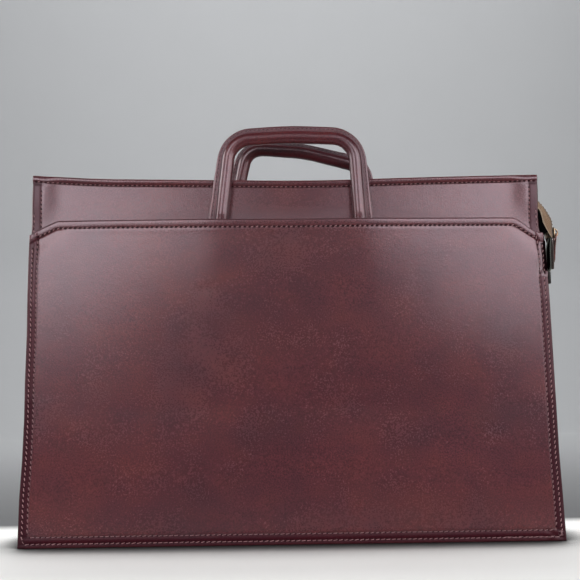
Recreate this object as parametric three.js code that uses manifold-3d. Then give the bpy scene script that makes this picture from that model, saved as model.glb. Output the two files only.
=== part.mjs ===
// Portfolio briefcase: two leaned side panels with outside slip pockets, a U-shaped folding gusset,
// two rolled handles that rise out of the pockets, and a zip whose free tail hangs over the right end.
// Millimetres, +Z up, +X along the bag, the front face towards -Y, z = 0 on the surface it rests on.
import * as THREE from 'three';
import { mergeVertices } from 'three/addons/utils/BufferGeometryUtils.js';
import Module from 'manifold-3d';

const wasm = await Module();
wasm.setup();
const { Manifold, Mesh: ManifoldMesh } = wasm;

// ---------------------------------------------------------------- driving sizes
const HEIGHT = 288;            // floor to the top corners
const HALF_WIDTH = 204;        // nominal half width that the side tables are scaled by
const GAP_BOTTOM = 46;         // between the panels' inner faces at the floor
const GAP_TOP = 22;            // and at the top edge: the panels lean in
const PANEL_T = 1.8;           // panel wall
const POCKET_T = 1.6;          // pocket wall
const GUSSET_T = 1.4;
const TAPE_T = 0.7;
const HEM_EXTRA = 1.5;         // the turned-in layer of a hem
const HEM_DEPTH = 8;
const CLEAR = 0.3;             // air between neighbouring pieces
const BOW = 1.2;               // how far a panel swells at mid height

const POCKET_FREE_Z = 100;     // above this the pocket stands off the panel over the handle legs
const POCKET_MOUTH_Z = 250;
const POCKET_BULGE = 10.2;     // stand-off at the mouth, between the legs

const FLANGE_IN = 10;          // gusset flange sewn behind the panel
const GUSSET_TOP_LEFT = 239;
const GUSSET_TOP_RIGHT = 204;
const CORNER_R = 6;
const FOLD_R = 1.1;

const HANDLE_R = 5.2;          // rolled core
const HANDLE_FLANGE_HALF = 1.3;
const HANDLE_END_Z = 178;      // flattened ends, hidden in the pockets

const CHAIN_HALF = 2.2;        // closed zip chain, half its width
const CHAIN_T = 2.2;
const TAPE_START = -198;
const CHAIN_START = -194;
const ZIP_DROP = 5;            // zip below the panels' top edges

// outline of the side seams, x of each edge at height z
const SEAM_EDGE = [
  { z: 0, left: -204.9, right: 206.4 }, { z: 36, left: -205.0, right: 205.8 }, { z: 65, left: -204.1, right: 205.2 },
  { z: 95, left: -203.9, right: 205.3 }, { z: 125, left: -204.6, right: 205.4 }, { z: 160, left: -205.0, right: 205.5 },
  { z: 190, left: -205.8, right: 205.5 }, { z: 222, left: -206.2, right: 204.1 }, { z: 239, left: -206.1, right: 203.0 },
];
const PANEL_EDGE = [
  { z: 0, left: -204.2, right: 205.6 }, { z: 36, left: -204.3, right: 205.0 }, { z: 65, left: -203.4, right: 204.5 },
  { z: 95, left: -203.2, right: 204.5 }, { z: 160, left: -204.2, right: 204.8 }, { z: 204, left: -204.4, right: 204.0 },
  { z: 239, left: -204.0, right: 201.2 }, { z: 254, left: -204.0, right: 201.0 }, { z: 273, left: -204.2, right: 202.0 },
  { z: 289, left: -204.3, right: 202.2 },
];
const PANEL_TOP = [
  { x: -205, z: 288.2 }, { x: -151, z: 286.5 }, { x: -60, z: 284.9 }, { x: 0, z: 283.8 }, { x: 42, z: 284.0 },
  { x: 71, z: 284.9 }, { x: 132, z: 286.2 }, { x: 205, z: 287.2 },
];
const POCKET_TOP = [
  { x: -206, z: 238.8 }, { x: -197.4, z: 244.2 }, { x: -182, z: 251.2 }, { x: -150, z: 250.9 }, { x: -60, z: 249.7 },
  { x: 0, z: 249.2 }, { x: 94, z: 249.6 }, { x: 150, z: 250.3 }, { x: 181, z: 250.6 }, { x: 188, z: 246.6 },
  { x: 194, z: 241.6 }, { x: 199, z: 239.2 }, { x: 206, z: 238.0 },
];
// soft dents and swells of the pocket face: depth is inwards
const DENTS = [
  { x: -66, z: 194, depth: 0.8, wide: 13, tall: 7 }, { x: 40, z: 60, depth: 0.5, wide: 60, tall: 30 },
  { x: -150, z: 120, depth: -0.6, wide: 40, tall: 60 }, { x: 140, z: 150, depth: -0.6, wide: 45, tall: 50 },
];
// handle centre lines in the XZ plane with the corner radius at each bend
const FRONT_HANDLE = {
  path: [{ x: -55.5, z: HANDLE_END_Z }, { x: -53.0, z: 250, r: 220 }, { x: -45.9, z: 316.0, r: 18.5 },
    { x: 2.5, z: 318.6, r: 300 }, { x: 54.2, z: 316.6, r: 19 }, { x: 57.2, z: 250, r: 260 }, { x: 58.5, z: HANDLE_END_Z }],
  flange: [{ z: 250, f: 5.2 }, { z: 285, f: 4.2 }, { z: 305, f: 3.4 }, { z: 314, f: 3.5 }, { z: 318.3, f: 4.2 }], from: -62, to: 66,
};
const REAR_HANDLE = {
  path: [{ x: -51, z: HANDLE_END_Z }, { x: -48.2, z: 250, r: 140 }, { x: -33.5, z: 319.0, r: 15 },
    { x: 14, z: 315.6, r: 90 }, { x: 62.5, z: 303.0, r: 15 }, { x: 71.0, z: 250, r: 140 }, { x: 72, z: HANDLE_END_Z }],
  flange: [{ z: 250, f: 4.6 }, { z: 300, f: 3.6 }, { z: 318, f: 2.4 }], from: -62, to: 80,
};
// the zip's free tail: chain centre, and the outer edge of the front tape
const TAIL = [
  { x: 172, z: 281.6, ex: 172, ey: 8.9, ez: 272.6 }, { x: 184.6, z: 280.6, ex: 184, ey: 8.9, ez: 271.4 },
  { x: 193.6, z: 277.4, ex: 191.5, ey: 9.0, ez: 268.6 }, { x: 200.4, z: 272.7, ex: 197.6, ey: 9.1, ez: 264.8 },
  { x: 205.8, z: 267.4, ex: 202.3, ey: 9.3, ez: 261.0 }, { x: 210.6, z: 261.6, ex: 205.2, ey: 9.5, ez: 257.4 },
  { x: 214.2, z: 255.6, ex: 206.4, ey: 9.2, ez: 252.8 }, { x: 216.4, z: 250.4, ex: 207.6, ey: 8.4, ez: 248.2 },
  { x: 216.6, z: 245.0, ex: 209.9, ey: 7.0, ez: 244.2 }, { x: 216.4, z: 241.0, ex: 212.4, ey: 5.4, ez: 240.6 },
];
// one row of teeth below the slider (the other mirrors it in Y), and its tape's outer edges
const ROW = [
  { x: 216.5, y: 1.3, z: 243.0 }, { x: 216.2, y: 1.6, z: 239.5 }, { x: 215.5, y: 2.9, z: 235.6 },
  { x: 214.4, y: 4.5, z: 230.5 }, { x: 213.9, y: 5.3, z: 224.0 }, { x: 213.7, y: 5.3, z: 214.5 },
  { x: 213.7, y: 4.2, z: 211.4 }, { x: 213.7, y: 2.2, z: 209.8 }, { x: 213.7, y: 0.0, z: 209.3 },
];
const TAPE_END = [
  { x: 215.5, y: 4.6, z: 235.6, fx: 214.6, fy: 6.6, bx: 214.6, by: 6.6 },
  { x: 214.4, y: 6.1, z: 230.5, fx: 214.8, fy: 8.2, bx: 216.4, by: 8.2 },
  { x: 213.9, y: 6.5, z: 224.0, fx: 214.8, fy: 8.7, bx: 217.0, by: 8.7 },
  { x: 213.7, y: 6.5, z: 214.5, fx: 214.8, fy: 8.5, bx: 217.0, by: 8.5 },
  { x: 213.7, y: 6.3, z: 209.8, fx: 214.6, fy: 8.0, bx: 216.6, by: 8.0 },
];
const SLIDER = { low: 236.4, high: 245.6, half: 3.6, innerX: 213.1, outerX: 218.1, plate: 0.7, post: 0.5 };
const PULL = { x: 219.95, z: 239.7, lean: 6.5, length: 24, thick: 1.1, bar: 0.5 };

// ---------------------------------------------------------------- small helpers
const V = (x, y, z) => new THREE.Vector3(x, y, z);
const clamp = (v, lo, hi) => Math.min(hi, Math.max(lo, v));
function table(rows, key, at, col) {
  if (at <= rows[0][key]) return rows[0][col];
  for (let i = 1; i < rows.length; i += 1) {
    if (at <= rows[i][key]) {
      const w = (at - rows[i - 1][key]) / (rows[i][key] - rows[i - 1][key]);
      return rows[i - 1][col] + w * (rows[i][col] - rows[i - 1][col]);
    }
  }
  return rows[rows.length - 1][col];
}
function closedBody(points, quads, extra = []) {
  const pos = new Float32Array(points.length * 3);
  points.forEach((p, i) => { pos[3 * i] = p.x; pos[3 * i + 1] = p.y; pos[3 * i + 2] = p.z; });
  let tri = [];
  quads.forEach(([a, b, c, d]) => tri.push([a, b, c], [a, c, d]));
  tri.push(...extra);
  let volume = 0;
  tri.forEach(([a, b, c]) => { volume += points[a].dot(points[b].clone().cross(points[c])); });
  if (volume < 0) tri = tri.map(([a, b, c]) => [a, c, b]);
  const g = new THREE.BufferGeometry();
  g.setAttribute('position', new THREE.BufferAttribute(pos, 3));
  g.setIndex(tri.flat());
  return g;
}
// a sheet between two point grids of the same shape
function slab(A, B) {
  const n = A.length, m = A[0].length;
  const a = (i, j) => i * m + j, b = (i, j) => n * m + i * m + j, q = [];
  for (let i = 0; i < n - 1; i += 1) {
    for (let j = 0; j < m - 1; j += 1) {
      q.push([a(i, j), a(i + 1, j), a(i + 1, j + 1), a(i, j + 1)], [b(i, j), b(i, j + 1), b(i + 1, j + 1), b(i + 1, j)]);
    }
    q.push([a(i, 0), b(i, 0), b(i + 1, 0), a(i + 1, 0)], [a(i, m - 1), a(i + 1, m - 1), b(i + 1, m - 1), b(i, m - 1)]);
  }
  for (let j = 0; j < m - 1; j += 1) {
    q.push([a(0, j), a(0, j + 1), b(0, j + 1), b(0, j)], [a(n - 1, j), b(n - 1, j), b(n - 1, j + 1), a(n - 1, j + 1)]);
  }
  return closedBody([...A.flat(), ...B.flat()], q);
}
// a sheet of even thickness around one grid of points
function skin(grid, thick) {
  const n = grid.length, m = grid[0].length, A = [], B = [];
  for (let i = 0; i < n; i += 1) {
    A.push([]); B.push([]);
    for (let j = 0; j < m; j += 1) {
      const du = grid[Math.min(i + 1, n - 1)][j].clone().sub(grid[Math.max(i - 1, 0)][j]);
      const dv = grid[i][Math.min(j + 1, m - 1)].clone().sub(grid[i][Math.max(j - 1, 0)]);
      const nrm = du.cross(dv).normalize().multiplyScalar(thick / 2);
      A[i].push(grid[i][j].clone().add(nrm));
      B[i].push(grid[i][j].clone().sub(nrm));
    }
  }
  return slab(A, B);
}
// a bar through closed rings
function bar(rings) {
  const n = rings.length, m = rings[0].length, pts = rings.flat(), q = [], extra = [];
  for (let i = 0; i < n - 1; i += 1) {
    for (let j = 0; j < m; j += 1) {
      const k = (j + 1) % m;
      q.push([i * m + j, i * m + k, (i + 1) * m + k, (i + 1) * m + j]);
    }
  }
  const centre = (ring) => ring.reduce((s, p) => s.add(p), V(0, 0, 0)).divideScalar(ring.length);
  pts.push(centre(rings[0]), centre(rings[n - 1]));
  for (let j = 0; j < m; j += 1) {
    const k = (j + 1) % m;
    extra.push([n * m, k, j], [n * m + 1, (n - 1) * m + j, (n - 1) * m + k]);
  }
  return closedBody(pts, q, extra);
}
function toManifold(g) {
  const clean = new THREE.BufferGeometry();
  clean.setAttribute('position', g.getAttribute('position'));
  if (g.index) clean.setIndex(g.index);
  const m = mergeVertices(clean, 1e-4);
  return new Manifold(new ManifoldMesh({
    numProp: 3, vertProperties: new Float32Array(m.getAttribute('position').array), triVerts: new Uint32Array(m.index.array),
  }));
}
function join(list) {
  return fromManifold(list.map(toManifold).reduce((s, m) => s.add(m)));
}
const cut = (a, b) => fromManifold(toManifold(a).subtract(toManifold(b)));
function fromManifold(man) {
  const out = man.getMesh();
  const g = new THREE.BufferGeometry();
  g.setAttribute('position', new THREE.BufferAttribute(new Float32Array(out.vertProperties), 3));
  g.setIndex(Array.from(out.triVerts));
  return g;
}
function block(x0, x1, y0, y1, z0, z1) {
  return new THREE.BoxGeometry(x1 - x0, y1 - y0, z1 - z0).translate((x0 + x1) / 2, (y0 + y1) / 2, (z0 + z1) / 2);
}
// a polyline with its inner corners rounded
function rounded(path, step) {
  const out = [V(path[0].x, 0, path[0].z)];
  for (let i = 1; i < path.length - 1; i += 1) {
    const q = V(path[i].x, 0, path[i].z);
    const a = V(path[i - 1].x, 0, path[i - 1].z).sub(q).normalize(), b = V(path[i + 1].x, 0, path[i + 1].z).sub(q).normalize();
    const half = Math.acos(clamp(a.dot(b), -1, 1)) / 2, r = path[i].r;
    const c = a.clone().add(b).normalize().multiplyScalar(r / Math.sin(half)).add(q);
    const s = a.clone().multiplyScalar(r / Math.tan(half)).add(q), e = b.clone().multiplyScalar(r / Math.tan(half)).add(q);
    const a0 = Math.atan2(s.z - c.z, s.x - c.x);
    let turn = Math.atan2(e.z - c.z, e.x - c.x) - a0;
    if (turn > Math.PI) turn -= 2 * Math.PI;
    if (turn < -Math.PI) turn += 2 * Math.PI;
    const k = Math.max(2, Math.round(Math.abs(turn) * r / step));
    for (let j = 0; j <= k; j += 1) {
      const w = a0 + turn * j / k;
      out.push(V(c.x + r * Math.cos(w), 0, c.z + r * Math.sin(w)));
    }
  }
  out.push(V(path[path.length - 1].x, 0, path[path.length - 1].z));
  return out;
}

// ---------------------------------------------------------------- surfaces of the bag (distance from the mid plane)
const halfGap = (z) => GAP_BOTTOM / 2 - (GAP_BOTTOM - GAP_TOP) / 2 * z / HEIGHT;
const swell = (x, z) => BOW * Math.cos(Math.PI * clamp(x, -205, 205) / 414) * Math.sin(Math.PI * clamp(z, 0, HEIGHT) / HEIGHT);
const panelOuter = (x, z) => halfGap(z) + PANEL_T + swell(x, z);
function bulge(x, z, from, to) {
  const rise = POCKET_BULGE * (Math.max(0, z - POCKET_FREE_Z) / (POCKET_MOUTH_Z - POCKET_FREE_Z)) ** 1.3;
  const ramp = x < from ? (198 + x) / (198 + from) : x > to ? (198 - x) / (198 - to) : 1;
  return rise * clamp(ramp, 0, 1);
}
const dent = (x, z) => DENTS.reduce((s, d) => s + d.depth * Math.exp(-(((x - d.x) / d.wide) ** 2) - ((z - d.z) / d.tall) ** 2), 0);
const across = (rows, xn, z) => xn / HALF_WIDTH * (xn < 0 ? -table(rows, 'z', z, 'left') : table(rows, 'z', z, 'right'));

function panel(side) {
  const cols = [-204, -196.5, -195.5, -170, -130, -90, -50, 0, 50, 90, 130, 170, 195.5, 196.5, 204];
  const rows = [{ z: 0 }, { z: 30 }, { z: 70 }, { z: 110 }, { z: 150 }, { z: 190 }, { z: 240 }, { z: 243.5 }, { z: 262 },
    { d: HEM_DEPTH + 1 }, { d: HEM_DEPTH }, { d: 1 }, { d: 0 }];
  const outer = [], inner = [];
  rows.forEach((row) => {
    outer.push([]); inner.push([]);
    cols.forEach((xn) => {
      const zt = table(PANEL_TOP, 'x', xn, 'z'), z = row.z === undefined ? zt - row.d : row.z;
      const x = across(PANEL_EDGE, xn, z);
      const hem = (row.d !== undefined && row.d <= HEM_DEPTH) || (Math.abs(xn) > 196 && z > 242) ? HEM_EXTRA : 0;
      const soft = row.d === 0 ? 0.5 : 0;
      outer[outer.length - 1].push(V(x, side * (panelOuter(x, z) - soft), z));
      inner[inner.length - 1].push(V(x, side * (panelOuter(x, z) - PANEL_T - hem + soft), z));
    });
  });
  return slab(outer, inner);
}
function pocket(side, handle) {
  const cols = [-204, -199, -195.5, -188, -180, -150, -120, -90, -66, -54, -30, 0, 30, 54, 68, 90, 120, 150, 179, 186, 192, 197, 204];
  const rows = [{ z: 0 }, { z: 30 }, { z: 65 }, { z: 100 }, { z: 130 }, { z: 160 }, { z: 185 }, { z: 205 }, { z: 226 },
    { d: HEM_DEPTH + 1 }, { d: HEM_DEPTH }, { d: 1 }, { d: 0 }];
  const outer = [], inner = [];
  rows.forEach((row) => {
    outer.push([]); inner.push([]);
    cols.forEach((xn) => {
      const zt = table(POCKET_TOP, 'x', xn, 'z'), z = row.z === undefined ? zt - row.d : row.z;
      const x = across(SEAM_EDGE, xn, z), off = bulge(x, z, handle.from, handle.to) - dent(x, z) * clamp((z - 10) / 30, 0, 1);
      const yIn = panelOuter(x, z) + CLEAR + Math.max(0, off);
      const hem = row.d !== undefined && row.d <= HEM_DEPTH ? 0.7 : 0, soft = row.d === 0 ? 0.4 : 0;
      outer[outer.length - 1].push(V(x, side * (yIn + POCKET_T + hem - soft), z));
      inner[inner.length - 1].push(V(x, side * (yIn + soft), z));
    });
  });
  return slab(outer, inner);
}

// ---------------------------------------------------------------- gusset: side webs folded in, flat bottom web
function gusset() {
  const edge = (right, z) => (right ? table(PANEL_EDGE, 'z', z, 'right') : -table(PANEL_EDGE, 'z', z, 'left')) - 0.5;
  const stations = [];
  const side = (right, zs) => zs.forEach((z) => stations.push({ ox: (right ? 1 : -1) * edge(right, z), oz: z, nx: right ? -1 : 1, nz: 0, z, flange: z < 16 ? 5 : FLANGE_IN }));
  const corner = (right, order) => order.forEach((deg) => {
    const a = deg * Math.PI / 180, s = right ? 1 : -1, e = edge(right, 0);
    stations.push({ ox: s * (e - CORNER_R + CORNER_R * Math.cos(a)), oz: CORNER_R - CORNER_R * Math.sin(a), nx: -s * Math.cos(a), nz: Math.sin(a), z: 0, flange: 5 });
  });
  side(false, [GUSSET_TOP_LEFT, 215, 185, 155, 125, 95, 65, 40, 22, 12]);
  corner(false, [0, 30, 60, 90]);
  [-188, -120, -40, 40, 120, 188].forEach((x) => stations.push({ ox: x, oz: 0, nx: 0, nz: 1, z: 0, flange: FLANGE_IN }));
  corner(true, [90, 60, 30, 0]);
  side(true, [12, 22, 40, 65, 95, 125, 155, 180, GUSSET_TOP_RIGHT]);
  const web = GAP_BOTTOM / 2 - CLEAR - GUSSET_T;
  const grid = stations.map((s) => {
    const y = halfGap(s.z) - CLEAR - GUSSET_T / 2, half = y - FOLD_R * 0.4;
    const depth = Math.sqrt(Math.max(0, (web * (s.oz > 12 ? 1 : 0)) ** 2 - half ** 2)) || 0;
    const n0 = GUSSET_T / 2;
    const prof = [
      { n: s.flange, y }, { n: n0 + FOLD_R * 1.3, y }, { n: n0 + FOLD_R * 0.35, y: y - FOLD_R * 0.3 },
      { n: n0, y: y - FOLD_R }, { n: n0 + Math.max(0, depth * 0.12), y: y - FOLD_R - 1.6 },
      { n: n0 + depth * 0.55, y: half * 0.45 }, { n: n0 + depth * 0.95, y: 1.0 },
    ];
    const leaned = (p) => p.y * (halfGap(s.oz + s.nz * p.n) - CLEAR - GUSSET_T / 2) / y;
    return [...prof.map((p) => V(s.ox + s.nx * p.n, -leaned(p), s.oz + s.nz * p.n)),
      ...prof.slice().reverse().map((p) => V(s.ox + s.nx * p.n, leaned(p), s.oz + s.nz * p.n))];
  });
  return skin(grid, GUSSET_T);
}

// ---------------------------------------------------------------- handles
function handle(spec, side) {
  const pts = rounded(spec.path, 4.2), dense = [];
  for (let i = 0; i < pts.length; i += 1) {
    if (i && pts[i].distanceTo(pts[i - 1]) > 22) {
      const k = Math.ceil(pts[i].distanceTo(pts[i - 1]) / 20);
      for (let j = 1; j < k; j += 1) dense.push(pts[i - 1].clone().lerp(pts[i], j / k));
    }
    if (!i || pts[i].distanceTo(dense[dense.length - 1]) > 1.0) dense.push(pts[i]);
  }
  const ring = [];
  const open = Math.asin(HANDLE_FLANGE_HALF / HANDLE_R), steps = 11;
  for (let k = 0; k <= steps; k += 1) {
    const a = open + (2 * Math.PI - 2 * open) * k / steps;
    ring.push({ u: HANDLE_R * Math.cos(a), v: HANDLE_R * Math.sin(a), tip: 0 });
  }
  ring.push({ u: HANDLE_R, v: -HANDLE_FLANGE_HALF, tip: 1 }, { u: HANDLE_R, v: HANDLE_FLANGE_HALF, tip: 1 });
  return bar(dense.map((p, i) => {
    const t = dense[Math.min(i + 1, dense.length - 1)].clone().sub(dense[Math.max(i - 1, 0)]).normalize();
    const out = V(-t.z, 0, t.x);
    const room = (bulge(p.x, Math.min(p.z, POCKET_MOUTH_Z), spec.from, spec.to) - CLEAR) / 2 / HANDLE_R;
    const flat = Math.min(1, p.z < POCKET_MOUTH_Z ? room * 0.99 : room + (p.z - POCKET_MOUTH_Z) / 60);
    const y = panelOuter(p.x, p.z) + CLEAR + HANDLE_R * flat;
    const f = table(spec.flange, 'z', p.z, 'f');
    return ring.map((r) => p.clone().add(out.clone().multiplyScalar(r.u + r.tip * f)).add(V(0, side * (y + r.v * flat), 0)));
  }));
}

// ---------------------------------------------------------------- zip
const chainZ = (x) => table(PANEL_TOP, 'x', x, 'z') - ZIP_DROP;
function zipTape(side) {
  const t = TAPE_T / 2, grid = [];
  const straight = [TAPE_START, -160, -110, -60, -10, 40, 90, 130, 160];
  straight.forEach((x) => {
    const z = chainZ(x), y = halfGap(z - 4) + swell(x, z) - HEM_EXTRA - CLEAR - t;
    grid.push([{ x, y: CHAIN_HALF + CLEAR, z }, { x, y: CHAIN_HALF + 0.55 * (y - CHAIN_HALF), z: z + 0.1 }, { x, y: y - 0.3, z: z - 1.2 }, { x, y, z: z - 9 }]);
  });
  TAIL.forEach((r) => {
    const w = clamp((r.x - 160) / 45, 0, 1);
    const e0 = { x: r.x, y: CHAIN_HALF + CLEAR, z: r.z }, e3 = { x: r.ex, y: r.ey, z: r.ez };
    const mix = (k, lift) => ({ x: e0.x + (e3.x - e0.x) * k * w + (r.ex - r.x) * 0, y: e0.y + (e3.y - e0.y) * (k + (1 - k) * lift * (1 - w)), z: e0.z + (e3.z - e0.z) * k * (w + (1 - w) * 0.15) });
    grid.push([e0, mix(0.35, 0.4), mix(0.7, 0.9), e3]);
  });
  TAPE_END.forEach((r) => {
    const e0 = { x: r.x, y: r.y, z: r.z }, e3 = side < 0 ? { x: r.fx, y: r.fy, z: r.z } : { x: r.bx, y: r.by, z: r.z };
    const mix = (k) => ({ x: e0.x + (e3.x - e0.x) * k, y: e0.y + (e3.y - e0.y) * k, z: r.z });
    grid.push([e0, mix(0.35), mix(0.7), e3]);
  });
  return skin(grid.map((row) => row.map((p) => V(p.x, side * p.y, p.z))), TAPE_T);
}
function rectBar(centres, halfWide, halfThick, sideways) {
  return bar(centres.map((c, i) => {
    const t = centres[Math.min(i + 1, centres.length - 1)].clone().sub(centres[Math.max(i - 1, 0)]).normalize();
    const a = sideways.clone().sub(t.clone().multiplyScalar(sideways.dot(t))).normalize(), b = t.clone().cross(a);
    return [[-1, -1], [1, -1], [1, 1], [-1, 1]].map(([p, q]) => c.clone().add(a.clone().multiplyScalar(p * halfWide)).add(b.clone().multiplyScalar(q * halfThick)));
  }));
}
function zipChain() {
  const closed = [CHAIN_START, -150, -100, -50, 0, 50, 100, 150].map((x) => V(x, 0, chainZ(x)));
  TAIL.forEach((r) => closed.push(V(r.x, 0, r.z)));
  const front = ROW.map((r) => V(r.x, -r.y, r.z));
  const u = [...front, ...ROW.slice(0, -1).reverse().map((r) => V(r.x, r.y, r.z))];
  return join([rectBar(closed, CHAIN_HALF, CHAIN_T / 2, V(0, 1, 0)), rectBar(u, 0.6, 0.8, V(1, 0, 0))]);
}
function zipSlider() {
  const { low, high, half, innerX, outerX, plate, post } = SLIDER;
  const arc = new THREE.Shape(), mid = 240.8, rz = 3.6, rx = 3.8, ix = 2.6, iz = 2.5, face = outerX + plate;
  arc.moveTo(face - 0.4, mid - rz);
  for (let k = 0; k <= 12; k += 1) { const a = -Math.PI / 2 + Math.PI * k / 12; arc.lineTo(face + rx * Math.cos(a), mid + rz * Math.sin(a)); }
  arc.lineTo(face - 0.4, mid + rz); arc.lineTo(face - 0.4, mid + iz);
  for (let k = 12; k >= 0; k -= 1) { const a = -Math.PI / 2 + Math.PI * k / 12; arc.lineTo(face + ix * Math.cos(a), mid + iz * Math.sin(a)); }
  arc.lineTo(face - 0.4, mid - iz); arc.closePath();
  const ringBody = new THREE.ExtrudeGeometry(arc, { depth: 2, bevelEnabled: false }).translate(0, 0, -1).rotateX(Math.PI / 2);
  return join([block(innerX - plate, innerX, -half, half, low, high), block(outerX, outerX + plate, -half, half, low, high),
    block(innerX - 0.3, outerX + 0.3, -post, post, low + 0.2, 238.6), ringBody]);
}
function zipPull() {
  const { x, z, lean, length, thick, bar: rb } = PULL;
  const shape = new THREE.Shape();
  [[-3.0, -rb], [3.0, -rb], [3.1, 5], [2.3, 8], [2.2, 12], [2.8, length - 2], [2.0, length], [-2.0, length], [-2.8, length - 2], [-2.2, 12], [-2.3, 8], [-3.1, 5]]
    .forEach(([w, s], i) => (i ? shape.lineTo(w, -s) : shape.moveTo(w, -s)));

  const plate = new THREE.ExtrudeGeometry(shape, { depth: thick, bevelEnabled: false }).translate(0, 0, -thick / 2)
    .rotateX(Math.PI / 2).rotateZ(Math.PI / 2);
  return cut(plate, block(-2, 2, -1.6, 1.6, -5.4, -rb)).rotateY(lean * Math.PI / 180).translate(x, 0, z);
}
function zipEndTab() {
  const s = new THREE.Shape();
  [[-2.2, 199.6], [-1.4, 198.8], [1.4, 198.8], [2.2, 199.6], [2.2, 208.3], [-2.2, 208.3]].forEach(([y, z], i) => (i ? s.lineTo(y, z) : s.moveTo(y, z)));
  s.closePath();
  return new THREE.ExtrudeGeometry(s, { depth: 2, bevelEnabled: false }).rotateX(Math.PI / 2).rotateZ(Math.PI / 2).translate(212.3, 0, 0);
}

// ---------------------------------------------------------------- assembly
const COLOURS = {
  hide: { color: 0x5c3236, roughness: 0.45, metalness: 0 }, gusset: { color: 0x4a282c, roughness: 0.5, metalness: 0 },
  handle: { color: 0x5e363a, roughness: 0.42, metalness: 0 }, tape: { color: 0x8a6844, roughness: 0.9, metalness: 0 },
  teeth: { color: 0x6e6a5c, roughness: 0.35, metalness: 1 }, brass: { color: 0x6b5540, roughness: 0.35, metalness: 1 },
  tab: { color: 0x3c3a38, roughness: 0.7, metalness: 0 },
};
function piece(name, geometry, look) {
  const mesh = new THREE.Mesh(geometry, new THREE.MeshStandardMaterial(COLOURS[look]));
  mesh.name = name;
  return mesh;
}
const bag = new THREE.Group();
bag.name = 'portfolio_briefcase';
bag.add(
  piece('front_panel', panel(-1), 'hide'), piece('back_panel', panel(1), 'hide'),
  piece('front_pocket', pocket(-1, FRONT_HANDLE), 'hide'), piece('back_pocket', pocket(1, REAR_HANDLE), 'hide'),
  piece('gusset', gusset(), 'gusset'),
  piece('handle_front', handle(FRONT_HANDLE, -1), 'handle'), piece('handle_rear', handle(REAR_HANDLE, 1), 'handle'),
  piece('zip_tape_front', zipTape(-1), 'tape'), piece('zip_tape_back', zipTape(1), 'tape'),
  piece('zip_chain', zipChain(), 'teeth'), piece('zip_slider', zipSlider(), 'brass'),
  piece('zip_pull', zipPull(), 'brass'), piece('zip_end_tab', zipEndTab(), 'tab'),
);
export default bag;
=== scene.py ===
import math

import bmesh
import bpy
import numpy as np
from mathutils import Matrix, Vector


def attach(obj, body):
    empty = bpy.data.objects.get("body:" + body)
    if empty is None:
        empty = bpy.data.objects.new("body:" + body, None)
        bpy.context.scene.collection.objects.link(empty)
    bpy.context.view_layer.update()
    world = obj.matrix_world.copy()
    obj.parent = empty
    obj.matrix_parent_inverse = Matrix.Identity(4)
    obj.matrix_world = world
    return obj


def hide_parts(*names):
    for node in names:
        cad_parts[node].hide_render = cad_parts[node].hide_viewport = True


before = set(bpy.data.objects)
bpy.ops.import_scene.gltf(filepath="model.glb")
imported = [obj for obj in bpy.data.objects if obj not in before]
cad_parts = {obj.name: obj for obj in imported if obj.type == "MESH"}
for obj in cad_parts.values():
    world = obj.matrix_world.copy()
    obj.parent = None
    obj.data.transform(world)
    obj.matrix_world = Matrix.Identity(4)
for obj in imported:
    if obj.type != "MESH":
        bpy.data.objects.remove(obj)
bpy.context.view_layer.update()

MM = 0.001
SCENE = bpy.context.scene

# ------------------------------------------------------------------ camera
CAM = dict(at=(-8.17, -645.54, 117.97), pitch=0.120088, yaw=0.014459, roll=-0.012313, lens=36.0 * 800.0 / 580.0)


def make_camera():
    p, y, r = CAM["pitch"], CAM["yaw"], CAM["roll"]
    fw = Vector((math.sin(y) * math.cos(p), math.cos(y) * math.cos(p), math.sin(p)))
    right = Vector((math.cos(y), -math.sin(y), 0.0))
    up = right.cross(fw)
    rx = right * math.cos(r) + up * math.sin(r)
    ux = -right * math.sin(r) + up * math.cos(r)
    m = Matrix((rx, ux, -fw)).transposed().to_4x4()
    m.translation = Vector(CAM["at"]) * MM
    data = bpy.data.cameras.new("camera")
    data.lens, data.sensor_width, data.sensor_fit = CAM["lens"], 36.0, "HORIZONTAL"
    data.clip_start, data.clip_end = 0.01, 50.0
    ob = bpy.data.objects.new("camera", data)
    ob.matrix_world = m
    SCENE.collection.objects.link(ob)
    SCENE.camera = ob


make_camera()

# ------------------------------------------------------------------ sizes, the same as the solids'
HEIGHT, HALF_WIDTH = 288.0, 204.0
GAP_BOTTOM, GAP_TOP = 46.0, 22.0
PANEL_T, POCKET_T, GUSSET_T, TAPE_T = 1.8, 1.6, 1.4, 0.7
CLEAR, BOW = 0.3, 1.2
POCKET_FREE_Z, POCKET_MOUTH_Z, POCKET_BULGE = 100.0, 250.0, 10.2
FLANGE_IN, GUSSET_TOP_LEFT, GUSSET_TOP_RIGHT, CORNER_R, FOLD_R = 10.0, 239.0, 204.0, 6.0, 1.1
HANDLE_R, HANDLE_END_Z = 5.2, 178.0
CHAIN_HALF, ZIP_DROP = 2.2, 5.0

# columns: z, left edge x, right edge x
SEAM_EDGE = np.array([(0, -205.7, 207.5), (36, -205.8, 206.9), (65, -204.7, 206.3), (95, -204.4, 206.4), (125, -205.0, 206.5),
                      (160, -205.0, 206.6), (190, -205.8, 206.7), (222, -206.2, 205.6), (239, -206.1, 204.2)], float)
PANEL_EDGE = np.array([(0, -204.2, 205.6), (36, -204.3, 205.0), (65, -203.4, 204.5), (95, -203.2, 204.5), (160, -204.2, 204.8),
                       (204, -204.8, 205.0), (239, -205.1, 202.4), (254, -205.2, 202.3), (273, -205.5, 203.2), (289, -205.6, 203.3)], float)
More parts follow.
